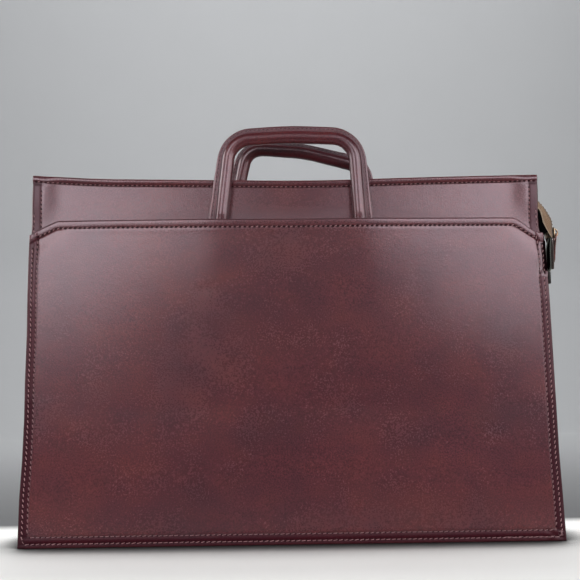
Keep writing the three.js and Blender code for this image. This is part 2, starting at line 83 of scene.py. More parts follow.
# columns: x, z
PANEL_TOP = np.array([(-205, 290.0), (-151, 286.5), (-60, 284.9), (0, 283.8), (42, 284.0), (71, 284.9), (132, 286.2), (205, 287.2)], float)
POCKET_TOP = np.array([(-206, 238.8), (-197.4, 244.2), (-182, 251.2), (-150, 250.9), (-60, 249.7), (0, 249.2), (94, 249.6), (150, 250.3),
                       (181, 250.6), (188, 246.6), (194, 241.6), (199, 239.2), (206, 238.0)], float)
# columns: x, z, depth, wide, tall
DENTS = [(-66, 194, 0.22, 5, 3), (40, 60, 0.5, 60, 30), (-150, 120, -0.6, 40, 60), (140, 150, -0.6, 45, 50)]
# columns: x, z, corner radius; then the flange's width by height
FRONT_HANDLE = dict(path=[(-55.5, 178, 0), (-53.0, 250, 220), (-45.9, 316.0, 18.5), (2.5, 318.6, 300), (54.2, 316.6, 19), (57.2, 250, 260), (58.5, 178, 0)],
                    flange=[(250, 5.2), (285, 4.2), (305, 3.4), (314, 3.5), (318.3, 4.2)], lo=-62.0, hi=66.0)
REAR_HANDLE = dict(path=[(-51, 178, 0), (-48.2, 250, 140), (-33.5, 319.0, 15), (14, 315.6, 90), (62.5, 303.0, 15), (71.0, 250, 140), (72, 178, 0)],
                   flange=[(250, 4.6), (300, 3.6), (318, 2.4)], lo=-62.0, hi=80.0)
# columns: chain x, chain z, tape edge x, tape edge y, tape edge z
TAIL = [(172, 281.6, 172, 8.9, 272.6), (184.6, 280.6, 184, 8.9, 271.4), (193.6, 277.4, 191.5, 9.0, 268.6), (200.4, 272.7, 197.6, 9.1, 264.8),
        (205.8, 267.4, 202.3, 9.3, 261.0), (210.6, 261.6, 205.2, 9.5, 257.4), (214.2, 255.6, 206.4, 9.2, 252.8), (216.4, 250.4, 207.6, 8.4, 248.2),
        (216.6, 245.0, 209.9, 7.0, 244.2), (216.4, 241.0, 212.4, 5.4, 240.6)]
# columns: x, y, z
ROW = [(216.5, 1.3, 243.0), (216.2, 1.6, 239.5), (215.5, 2.9, 235.6), (214.4, 4.5, 230.5), (213.9, 5.3, 224.0), (213.7, 5.3, 214.5),
       (213.7, 4.2, 211.4), (213.7, 2.2, 209.8), (213.7, 0.0, 209.3)]
# columns: x, y, z, front tape edge x and y, back tape edge x and y
TAPE_END = [(215.5, 4.6, 235.6, 214.6, 6.6, 214.6, 6.6), (214.4, 6.1, 230.5, 214.8, 8.2, 216.4, 8.2), (213.9, 6.5, 224.0, 214.8, 8.7, 217.0, 8.7),
            (213.7, 6.5, 214.5, 214.8, 8.5, 217.0, 8.5), (213.7, 6.3, 209.8, 214.6, 8.0, 216.6, 8.0)]
SLIDER = dict(low=236.4, high=245.6, half=3.6, inner=213.1, outer=218.1, plate=0.7, post=0.5)
PULL = dict(x=219.95, z=239.7, lean=6.5, length=24.0, thick=1.1)


# ------------------------------------------------------------------ surfaces (mm from the mid plane)
def half_gap(z):
    return GAP_BOTTOM / 2 - (GAP_BOTTOM - GAP_TOP) / 2 * z / HEIGHT


def swell(x, z):
    return BOW * np.cos(math.pi * np.clip(x, -205, 205) / 414) * np.sin(math.pi * np.clip(z, 0, HEIGHT) / HEIGHT)


def panel_outer(x, z):
    return half_gap(z) + PANEL_T + swell(x, z)


def bulge(x, z, lo, hi, soft=0.0):
    rise = POCKET_BULGE * (np.maximum(0, np.asarray(z, float) - POCKET_FREE_Z) / (POCKET_MOUTH_Z - POCKET_FREE_Z)) ** 1.3
    x = np.asarray(x, float)
    ramp = np.minimum((198 + x) / (198 + lo), (198 - x) / (198 - hi))
    if soft > 0:
        ramp = 1 - soft * np.log1p(np.exp((1 - ramp) / soft))
        ramp = ramp + soft * math.log(2) * np.exp(-((1 - ramp) / (4 * soft)) ** 2) * 0
    return rise * np.clip(np.minimum(ramp, 1), 0, 1)


def smooth01(t):
    t = np.clip(t, 0, 1)
    return t * t * (3 - 2 * t)


def turned_back(x, z):
    """How far the right edge is bent back where nothing is sewn behind it; more of it is bent lower down."""
    start = 203.0 - 6.0 * np.clip((237.0 - z) / 28.0, 0, 1)
    return 3.0 * np.clip((x - start) / 7.0, 0, 1) ** 1.2 * smooth01((z - 205.5) / 1.6) * smooth01((240.0 - z) / 4.0)


def loose_edge(z):
    """The same strip's edge stands out a little to the right."""
    return 1.5 * smooth01((z - 203.0) / 4.0) * smooth01((243.0 - z) / 12.0)


def dent(x, z):
    s = 0.0
    for dx, dz, depth, wide, tall in DENTS:
        s = s + depth * np.exp(-((x - dx) / wide) ** 2 - ((z - dz) / tall) ** 2)
    return s


def across(edge, xn, z):
    left = -np.interp(z, edge[:, 0], edge[:, 1])
    right = np.interp(z, edge[:, 0], edge[:, 2]) + loose_edge(z)
    return xn / HALF_WIDTH * np.where(xn < 0, left, right)


def ripple(x, z, amp, seed):
    """Slow handling waves in a stiff sheet."""
    a = np.sin(x / 47.0 + 1.7 * seed) * np.sin(z / 39.0 + 0.9 * seed)
    b = np.sin(x / 23.0 + z / 61.0 + 2.3 * seed) * 0.5
    c = np.sin(z / 17.0 - x / 88.0 + 0.4 * seed) * 0.35
    return amp * (a + b + c) / 1.85


# ------------------------------------------------------------------ mesh helpers
def put(name, verts, faces, mat, nodes=(), body="bag", smooth=True, attrs=None, uv=None, flip_fix=True, second=None):
    me = bpy.data.meshes.new(name)
    me.from_pydata([tuple(v) for v in np.asarray(verts, float) * MM], [], [tuple(int(i) for i in f) for f in faces])
    me.update()
    if flip_fix:
        bm = bmesh.new()
        bm.from_mesh(me)
        bmesh.ops.recalc_face_normals(bm, faces=bm.faces)
        bm.to_mesh(me)
        bm.free()
    if attrs:
        for key, vals in attrs.items():
            at = me.attributes.new(key, "FLOAT", "POINT")
            at.data.foreach_set("value", np.asarray(vals, np.float32))
    if uv is not None:
        layer = me.uv_layers.new(name="UVMap")
        idx = np.empty(len(me.loops), np.int32)
        me.loops.foreach_get("vertex_index", idx)
        layer.data.foreach_set("uv", np.asarray(uv, np.float32)[idx].ravel())
    for p in me.polygons:
        p.use_smooth = smooth
    me.materials.append(mat)
    if second:
        for other, _ in second:
            me.materials.append(other)
        for p in me.polygons:
            c = p.center / MM
            for k, (_, test) in enumerate(second):
                if test(c):
                    p.material_index = k + 1
                    break
    ob = bpy.data.objects.new(name, me)
    SCENE.collection.objects.link(ob)
    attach(ob, body)
    if nodes:
        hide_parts(*nodes)
    return ob


def slab(A, B):
    """Verts and faces of the sheet between two grids (n, m, 3)."""
    n, m = A.shape[:2]
    ia = np.arange(n * m).reshape(n, m)
    ib = ia + n * m
    f = []
    f += list(np.stack([ia[:-1, :-1], ia[1:, :-1], ia[1:, 1:], ia[:-1, 1:]], -1).reshape(-1, 4))
    f += list(np.stack([ib[:-1, :-1], ib[:-1, 1:], ib[1:, 1:], ib[1:, :-1]], -1).reshape(-1, 4))
    f += list(np.stack([ia[:-1, 0], ib[:-1, 0], ib[1:, 0], ia[1:, 0]], -1))
    f += list(np.stack([ia[:-1, -1], ia[1:, -1], ib[1:, -1], ib[:-1, -1]], -1))
    f += list(np.stack([ia[0, :-1], ia[0, 1:], ib[0, 1:], ib[0, :-1]], -1))
    f += list(np.stack([ia[-1, :-1], ib[-1, :-1], ib[-1, 1:], ia[-1, 1:]], -1))
    return np.concatenate([A.reshape(-1, 3), B.reshape(-1, 3)]), f


def grid_normals(G):
    du = np.gradient(G, axis=0)
    dv = np.gradient(G, axis=1)
    n = np.cross(du, dv)
    return n / np.maximum(np.linalg.norm(n, axis=-1, keepdims=True), 1e-9)


def tube_faces(n, m, caps=True, base=0):
    i = np.arange(n * m).reshape(n, m) + base
    j = np.roll(i, -1, axis=1)
    f = list(np.stack([i[:-1], j[:-1], j[1:], i[1:]], -1).reshape(-1, 4))
    if caps:
        f += [tuple(i[0][::-1]), tuple(i[-1])]
    return f


def edge_steps(width, fine=(0.0, 0.12, 0.4, 0.8, 1.3, 1.9, 2.6, 3.3, 4.0, 4.8, 5.6, 6.4, 7.1, 7.8, 8.6, 9.6, 11.0), step=2.6):
    """Distances from one edge to the other, close together near both."""
    f = np.array(fine)
    mid = np.linspace(f[-1], width - f[-1], max(2, int((width - 2 * f[-1]) / step)))
    return np.concatenate([f[:-1], mid, width - f[:-1][::-1]])


def round_edge(d, r):
    """0 at the very edge, 1 from r inwards, as a quarter circle."""
    t = np.clip(d / r, 0, 1)
    return np.sqrt(np.clip(1 - (1 - t) ** 2, 0, 1))


def dip(d, at, width):
    return np.exp(-((d - at) / width) ** 2)


# ------------------------------------------------------------------ materials
def nodes_of(mat):
    mat.use_nodes = True
    nt = mat.node_tree
    nt.nodes.clear()
    out = nt.nodes.new("ShaderNodeOutputMaterial")
    bsdf = nt.nodes.new("ShaderNodeBsdfPrincipled")
    nt.links.new(bsdf.outputs["BSDF"], out.inputs["Surface"])
    return nt, bsdf


def noise(nt, scale, detail=4, rough=0.55, coord="Object", distortion=0.0, stretch=None):
    tc = nt.nodes.new("ShaderNodeTexCoord")
    vec = tc.outputs[coord]
    if stretch:
        mp = nt.nodes.new("ShaderNodeMapping")
        mp.inputs["Scale"].default_value = stretch
        nt.links.new(vec, mp.inputs["Vector"])
        vec = mp.outputs["Vector"]
    n = nt.nodes.new("ShaderNodeTexNoise")
    n.inputs["Scale"].default_value = scale
    n.inputs["Detail"].default_value = detail
    n.inputs["Roughness"].default_value = rough
    n.inputs["Distortion"].default_value = distortion
    nt.links.new(vec, n.inputs["Vector"])
    return n.outputs["Fac"]


def ramp(nt, fac, stops):
    r = nt.nodes.new("ShaderNodeValToRGB")
    el = r.color_ramp.elements
    while len(el) < len(stops):
        el.new(0.5)
    for e, (pos, col) in zip(el, stops):
        e.position = pos
        e.color = (*col, 1) if len(col) == 3 else col
    nt.links.new(fac, r.inputs["Fac"])
    return r.outputs["Color"]


def mixc(nt, a, b, fac, mode="MIX"):
    m = nt.nodes.new("ShaderNodeMix")
    m.data_type, m.blend_type = "RGBA", mode
    for sock, val in ((m.inputs["Factor"], fac), (m.inputs["A"], a), (m.inputs["B"], b)):
        pass
    names = {"Factor": fac}
    nt_in = [s for s in m.inputs if s.enabled]
    for s in nt_in:
        val = {"Factor": fac, "A": a, "B": b}.get(s.name)
        if val is None:
            continue
        if hasattr(val, "is_output"):
            nt.links.new(val, s)
        elif isinstance(val, (int, float)):
            s.default_value = val
        else:
            s.default_value = (*val, 1) if len(val) == 3 else val
    return [s for s in m.outputs if s.enabled][0]


def math_node(nt, op, a, b=0.0, c=None, clamp=False):
    m = nt.nodes.new("ShaderNodeMath")
    m.operation, m.use_clamp = op, clamp
    for s, v in zip(m.inputs, (a, b, c)):
        if v is None:
            continue
        if hasattr(v, "is_output"):
            nt.links.new(v, s)
        else:
            s.default_value = v
    return m.outputs[0]


def attribute(nt, name):
    a = nt.nodes.new("ShaderNodeAttribute")
    a.attribute_type, a.attribute_name = "GEOMETRY", name
    return a.outputs["Fac"]


def bump(nt, height, strength, distance, normal=None):
    b = nt.nodes.new("ShaderNodeBump")
    b.inputs["Strength"].default_value = strength
    b.inputs["Distance"].default_value = distance
    nt.links.new(height, b.inputs["Height"])
    if normal is not None:
        nt.links.new(normal, b.inputs["Normal"])
    return b.outputs["Normal"]


def hide(name, deep=(0.049, 0.0102, 0.0155), body=(0.076, 0.0130, 0.0178), warm=(0.112, 0.0200, 0.0176), rough=0.235, coat=0.05, spec=0.45):
    """Burgundy grained hide: mottled colour, fine pebble grain, worn edges with a painted highlight on the pocket
    corners' facets, and painted shade in grooves, creases and on the bands beside the stitch rows.
    """
    mat = bpy.data.materials.new(name)
    nt, b = nodes_of(mat)
    big = noise(nt, 15.0, 2, 0.5, distortion=0.5)
    mid = noise(nt, 38.0, 1, 0.5, stretch=(1.0, 1.0, 1.5))
    fine = noise(nt, 820.0, 2, 0.6)
    col = ramp(nt, big, [(0.28, deep), (0.50, body), (0.76, warm)])
    col = mixc(nt, col, ramp(nt, mid, [(0.25, deep), (0.50, body), (0.80, warm)]), 0.38)
    col = mixc(nt, col, ramp(nt, fine, [(0.30, (0.48, 0.46, 0.48)), (0.70, (1.45, 1.43, 1.41))]), 0.85, "MULTIPLY")
    edge = attribute(nt, "edge")
    painted_shade = attribute(nt, "painted_shade")
    wearn = noise(nt, 160.0, 3, 0.6)
    wear_and_painted_highlight = math_node(nt, "MULTIPLY", edge, math_node(nt, "MULTIPLY_ADD", wearn, 1.6, -0.25, clamp=True))
    # worn edges lighten; the same lighter mix is also a painted highlight on the facets under the pocket's chamfers
    col = mixc(nt, col, (0.20, 0.085, 0.085), math_node(nt, "MULTIPLY", wear_and_painted_highlight, 0.55))
    # painted shade on the bands beside the stitch rows, which turn away from the light
    band = attribute(nt, "band")
    col = mixc(nt, col, (0.034, 0.0055, 0.0100), math_node(nt, "MULTIPLY", band, 0.85, clamp=True))
    # painted shade in stitch grooves, creases, under the hems and along cut edges
    col = mixc(nt, col, (0.016, 0.005, 0.007), math_node(nt, "MULTIPLY", painted_shade, 0.62, clamp=True))
    nt.links.new(col, b.inputs["Base Color"])
    # grain
    tc = nt.nodes.new("ShaderNodeTexCoord")
    v = nt.nodes.new("ShaderNodeTexVoronoi")
    v.feature = "SMOOTH_F1"
    v.inputs["Scale"].default_value = 1150.0
    v.inputs["Smoothness"].default_value = 0.6
    nt.links.new(tc.outputs["Object"], v.inputs["Vector"])
    g2 = noise(nt, 650.0, 3, 0.6)
    height = math_node(nt, "ADD", math_node(nt, "MULTIPLY", v.outputs["Distance"], 0.9), math_node(nt, "MULTIPLY", g2, 0.7))
    n1 = bump(nt, height, 0.26, 0.00022)
    n2 = bump(nt, noise(nt, 90.0, 3, 0.5), 0.10, 0.0008, n1)
    nt.links.new(n2, b.inputs["Normal"])
    rn = noise(nt, 22.0, 1, 0.5)
    r1 = math_node(nt, "MULTIPLY_ADD", rn, 0.06, rough - 0.03)
    r2 = math_node(nt, "MULTIPLY_ADD", painted_shade, 0.24, math_node(nt, "MULTIPLY_ADD", band, 0.04, r1))
    r3 = math_node(nt, "MULTIPLY_ADD", fine, 0.06, r2, clamp=True)
    nt.links.new(r3, b.inputs["Roughness"])
    b.inputs["Specular IOR Level"].default_value = spec
    b.inputs["Specular Tint"].default_value = (1.0, 0.88, 0.95, 1.0)
    b.inputs["Coat Weight"].default_value = coat
    b.inputs["Coat Roughness"].default_value = 0.30
    return mat


def thread_mat(name, low, high):
    mat = bpy.data.materials.new(name)
    nt, b = nodes_of(mat)
    col = ramp(nt, noise(nt, 900.0, 2), [(0.3, low), (0.7, high)])
    nt.links.new(col, b.inputs["Base Color"])
    w = nt.nodes.new("ShaderNodeTexWave")
    w.inputs["Scale"].default_value = 900.0
    tc = nt.nodes.new("ShaderNodeTexCoord")
    nt.links.new(tc.outputs["Object"], w.inputs["Vector"])
    nt.links.new(bump(nt, w.outputs["Fac"], 0.4, 0.0001), b.inputs["Normal"])
    b.inputs["Roughness"].default_value = 0.6
    b.inputs["Sheen Weight"].default_value = 0.2
    return mat


# needle holes: near-black dots, painted shade in the pits along each stitch row
def hole_mat():
    mat = bpy.data.materials.new("needle_hole")
    nt, b = nodes_of(mat)
    nt.links.new(ramp(nt, noise(nt, 500.0, 2), [(0.3, (0.014, 0.0035, 0.0055)), (0.7, (0.034, 0.008, 0.012))]), b.inputs["Base Color"])
    b.inputs["Roughness"].default_value = 0.9
    b.inputs["Specular IOR Level"].default_value = 0.04
    return mat


def tape_mat(name, base, dark, edge_col):
    mat = bpy.data.materials.new(name)
    nt, b = nodes_of(mat)
    uv = nt.nodes.new("ShaderNodeTexCoord")
    mp = nt.nodes.new("ShaderNodeMapping")
    mp.inputs["Scale"].default_value = (1.0, 1.0, 1.0)
    nt.links.new(uv.outputs["UV"], mp.inputs["Vector"])
    waves = []
    for direction, scale in (("X", 3.1), ("Y", 4.2)):
        w = nt.nodes.new("ShaderNodeTexWave")
        w.bands_direction = direction
        w.inputs["Scale"].default_value = scale
        w.inputs["Distortion"].default_value = 0.4
        nt.links.new(mp.outputs["Vector"], w.inputs["Vector"])
        waves.append(w.outputs["Fac"])
    weave = math_node(nt, "MULTIPLY", waves[0], waves[1])
    col = ramp(nt, weave, [(0.05, dark), (0.65, base)])
    col = mixc(nt, col, ramp(nt, noise(nt, 140.0, 4), [(0.35, dark), (0.65, base)]), 0.35)
    col = mixc(nt, col, edge_col, math_node(nt, "MULTIPLY", attribute(nt, "edge"), 0.85))
    # painted shade: dark brown where the tape would lie in shadow
    col = mixc(nt, col, (0.022, 0.009, 0.009), math_node(nt, "MULTIPLY", attribute(nt, "painted_shade"), 0.94))
    nt.links.new(col, b.inputs["Base Color"])
    nt.links.new(bump(nt, weave, 0.7, 0.00025), b.inputs["Normal"])
    b.inputs["Roughness"].default_value = 0.88
    b.inputs["Sheen Weight"].default_value = 0.10
    return mat


def metal(name, bright, dull, rough=0.34):
    mat = bpy.data.materials.new(name)
    nt, b = nodes_of(mat)
    n = noise(nt, 420.0, 4, 0.65)
    nt.links.new(ramp(nt, n, [(0.36, dull), (0.60, bright)]), b.inputs["Base Color"])
    nt.links.new(math_node(nt, "MULTIPLY_ADD", noise(nt, 260.0, 3), 0.3, rough - 0.12), b.inputs["Roughness"])
    nt.links.new(bump(nt, noise(nt, 1300.0, 2), 0.12, 0.0001), b.inputs["Normal"])
    b.inputs["Metallic"].default_value = 1.0
    return mat


def shadow_mat():
    """Painted shadow for the turned-back strip at the right end: near-black and dull."""
    mat = bpy.data.materials.new("hide_underside")
    nt, b = nodes_of(mat)
    nt.links.new(ramp(nt, noise(nt, 260.0, 3), [(0.3, (0.003, 0.0010, 0.0014)), (0.7, (0.007, 0.0020, 0.0030))]), b.inputs["Base Color"])
    nt.links.new(bump(nt, noise(nt, 700.0, 2), 0.3, 0.0002), b.inputs["Normal"])
    b.inputs["Roughness"].default_value = 0.95
    b.inputs["Specular IOR Level"].default_value = 0.0
    return mat


# where the painted shadow goes: the front faces of the turned-back strip at the right end
def in_fold(c):
    return c.y < 0 and 206.2 < c.z < 238.5 and c.x > np.interp(c.z, (206.2, 222.0, 233.0, 238.0), (203.2, 202.8, 204.9, 206.0))


def panel_rim(c, side):
    """The doubled hem down each side of a panel, above the pocket, on its outside; it gets a darker, duller copy of the
    hide as painted shade.
    """
    dx = HALF_WIDTH * (1 - abs(c.x) / abs(float(across(PANEL_EDGE, np.array(math.copysign(HALF_WIDTH, c.x)), np.array(c.z)))))
    return dx < 7.6 and 236 < c.z < float(np.interp(c.x, PANEL_TOP[:, 0], PANEL_TOP[:, 1])) - 5.6


def pocket_rim(c, side, lo=0.0, hi=110.0):
    """The pressed band outside a pocket's inner row of stitches, down both sides, and the bottom band; they get darker,
    duller copies of the hide as painted shade, darker and duller lower down.
    """
    if not lo <= c.z < hi or (c.x > 0 and c.z > 203):
        return False
    dx = HALF_WIDTH * (1 - abs(c.x) / abs(float(across(SEAM_EDGE, np.array(math.copysign(HALF_WIDTH, c.x)), np.array(c.z)))))
    return (dx < 7.1 or c.z < 8.0) and c.z < float(np.interp(c.x, POCKET_TOP[:, 0], POCKET_TOP[:, 1])) - 5.0


FOLD_PAINTED_SHADOW = shadow_mat()
# darker, duller copies of the hide: painted shade for the pockets' side and bottom bands and the panels' side hems, the
# darkest lowest down
HIDE_RIM_SHADED = hide("hide_rim", deep=(0.040, 0.0050, 0.0100), body=(0.055, 0.0065, 0.0120), warm=(0.075, 0.0090, 0.0120), rough=0.30, coat=0.0, spec=0.10)
HIDE_RIM_MID_SHADED = hide("hide_rim_mid", deep=(0.043, 0.0068, 0.0120), body=(0.060, 0.0085, 0.0140), warm=(0.081, 0.0115, 0.0140), rough=0.30, coat=0.0, spec=0.17)
HIDE_HEM_SHADED = hide("hide_hem", deep=(0.046, 0.0085, 0.0140), body=(0.066, 0.0105, 0.0160), warm=(0.088, 0.0140, 0.0160), rough=0.30, coat=0.0, spec=0.25)
HIDE_FRONT = hide("hide_face")
HIDE_PANEL = hide("hide_panel")
HIDE_HANDLE = hide("hide_handle", rough=0.26, coat=0.10)
HIDE_GUSSET = hide("hide_gusset", deep=(0.050, 0.016, 0.019), body=(0.072, 0.021, 0.024), warm=(0.092, 0.026, 0.024), rough=0.42, coat=0.05)
THREAD = thread_mat("thread", (0.22, 0.090, 0.096), (0.42, 0.210, 0.220))
THREAD_TOP = thread_mat("thread_top", (0.24, 0.105, 0.112), (0.44, 0.235, 0.245))
THREAD_SIDE = thread_mat("thread_side", (0.15, 0.060, 0.066), (0.30, 0.145, 0.155))
THREAD_DARK = thread_mat("thread_dark", (0.050, 0.017, 0.019), (0.100, 0.036, 0.040))
HOLE = hole_mat()
TAPE_TAN = tape_mat("zip_tape_tan", (0.33, 0.185, 0.085), (0.17, 0.088, 0.040), (0.55, 0.42, 0.30))
# near-black cloth for the sheets of painted shade behind the zip's open end
SHADE_SHEET = tape_mat("zip_shade_sheet", (0.005, 0.004, 0.004), (0.002, 0.002, 0.002), (0.01, 0.01, 0.01))
SHADE_SHEET.node_tree.nodes["Principled BSDF"].inputs["Specular IOR Level"].default_value = 0.0
SHADE_SHEET.node_tree.nodes["Principled BSDF"].inputs["Sheen Weight"].default_value = 0.0
TAB_CLOTH = tape_mat("tab_cloth", (0.045, 0.042, 0.040), (0.018, 0.016, 0.016), (0.09, 0.08, 0.07))
TEETH = metal("zip_teeth", (0.20, 0.155, 0.105), (0.060, 0.042, 0.030), rough=0.42)
ROW_TEETH = tape_mat("zip_row", (0.36, 0.37, 0.32), (0.22, 0.23, 0.20), (0.14, 0.14, 0.12))
BRASS = metal("antique_brass", (0.46, 0.34, 0.22), (0.13, 0.075, 0.055))
PULL_METAL = metal("antique_pull", (0.10, 0.046, 0.038), (0.040, 0.015, 0.018), rough=0.46)


# ------------------------------------------------------------------ stitches
def surface_normal(fn, a, b, side):
    e = 0.4
    p = fn(a, b)
    n = np.cross(fn(a + e, b) - fn(a - e, b), fn(a, b + e) - fn(a, b - e))
    n /= np.linalg.norm(n)
    if n[1] * side < 0:
        n = -n
    return p, n


def stitch_row(points, normals, pitch=4.0, length=2.7, radius=0.27, slant=0.30, lift=0.10, hole=(0.62, 0.52), wobble=0.0):
    """Verts and faces of thread stitches and of needle holes along a path lying on a surface."""
    P, N = np.array(points, float), np.array(normals, float)
    seg = np.linalg.norm(np.diff(P, axis=0), axis=1)
    s = np.concatenate([[0], np.cumsum(seg)])
    count = max(1, int(round(s[-1] / pitch)))
    step = s[-1] / count
    tv, tf, hv, hf = [], [], [], []

    def at(q):
        q = min(max(q, 0), s[-1])
        p = np.array([np.interp(q, s, P[:, k]) for k in range(3)])
        n = np.array([np.interp(q, s, N[:, k]) for k in range(3)])
        return p, n / np.linalg.norm(n)

    def frame_at(q):
        c, n = at(q)
        t = at(min(q + 0.5, s[-1]))[0] - at(max(q - 0.5, 0))[0]
        t -= n * t.dot(n)
        t /= np.linalg.norm(t)
        return c, n, t

    for k in range(count):
        c, n, t = frame_at((k + 0.5) * step)
        side = np.cross(n, t)
        ang = slant + 0.10 * math.sin(k * 12.9898 + s[-1])
        c = c + side * wobble * math.sin(k * 2.3 + 0.7)
        ln = length * (1 + 0.10 * math.sin(k * 5.1))
        d = t * math.cos(ang) + side * math.sin(ang)
        w = np.cross(n, d)
        base = len(tv)
        rings = [(-0.5, 0.25, -0.34), (-0.38, 0.85, -0.04), (-0.15, 1.0, 0.12), (0.15, 1.0, 0.12), (0.38, 0.85, -0.04), (0.5, 0.25, -0.34)]
        for u, rr, up in rings:
            for j in range(6):
                th = 2 * math.pi * j / 6
                tv.append(c + d * (u * ln) + n * (lift + up + math.sin(th) * radius * rr * 0.85) + w * (math.cos(th) * radius * rr))
        tf += tube_faces(len(rings), 6, True, base)
    for k in range(count + 1):
        c, n, t = frame_at(k * step)
        w = np.cross(n, t)
        base = len(hv)
        for rr, up in ((1.0, -0.10), (0.9, 0.035), (0.3, 0.05)):
            for j in range(8):
                th = 2 * math.pi * j / 8
                hv.append(c + t * (math.cos(th) * rr * hole[0]) + w * (math.sin(th) * rr * hole[1]) + n * up)
        hf += tube_faces(3, 8, True, base)
    return (tv, tf), (hv, hf)


class Sewing:
    """Collects stitch rows into one thread piece and one needle-hole piece."""

    def __init__(self):
        self.t, self.tf, self.h, self.hf = [], [], [], []

    def row(self, pts, nrm, **kw):
        (tv, tf), (hv, hf) = stitch_row(pts, nrm, **kw)
        self.tf += [tuple(i + len(self.t) for i in f) for f in tf]
        self.t += tv
        self.hf += [tuple(i + len(self.h) for i in f) for f in hf]
        self.h += hv

    def done(self, name, thread=None):
        put(name, self.t, self.tf, thread or THREAD, flip_fix=False)
        put(name + "_holes", self.h, self.hf, HOLE, flip_fix=False)


# ------------------------------------------------------------------ panels
TOP_HEM = 5.5      # stitch row below the panel's top edge
SIDE_HEM = 7.8


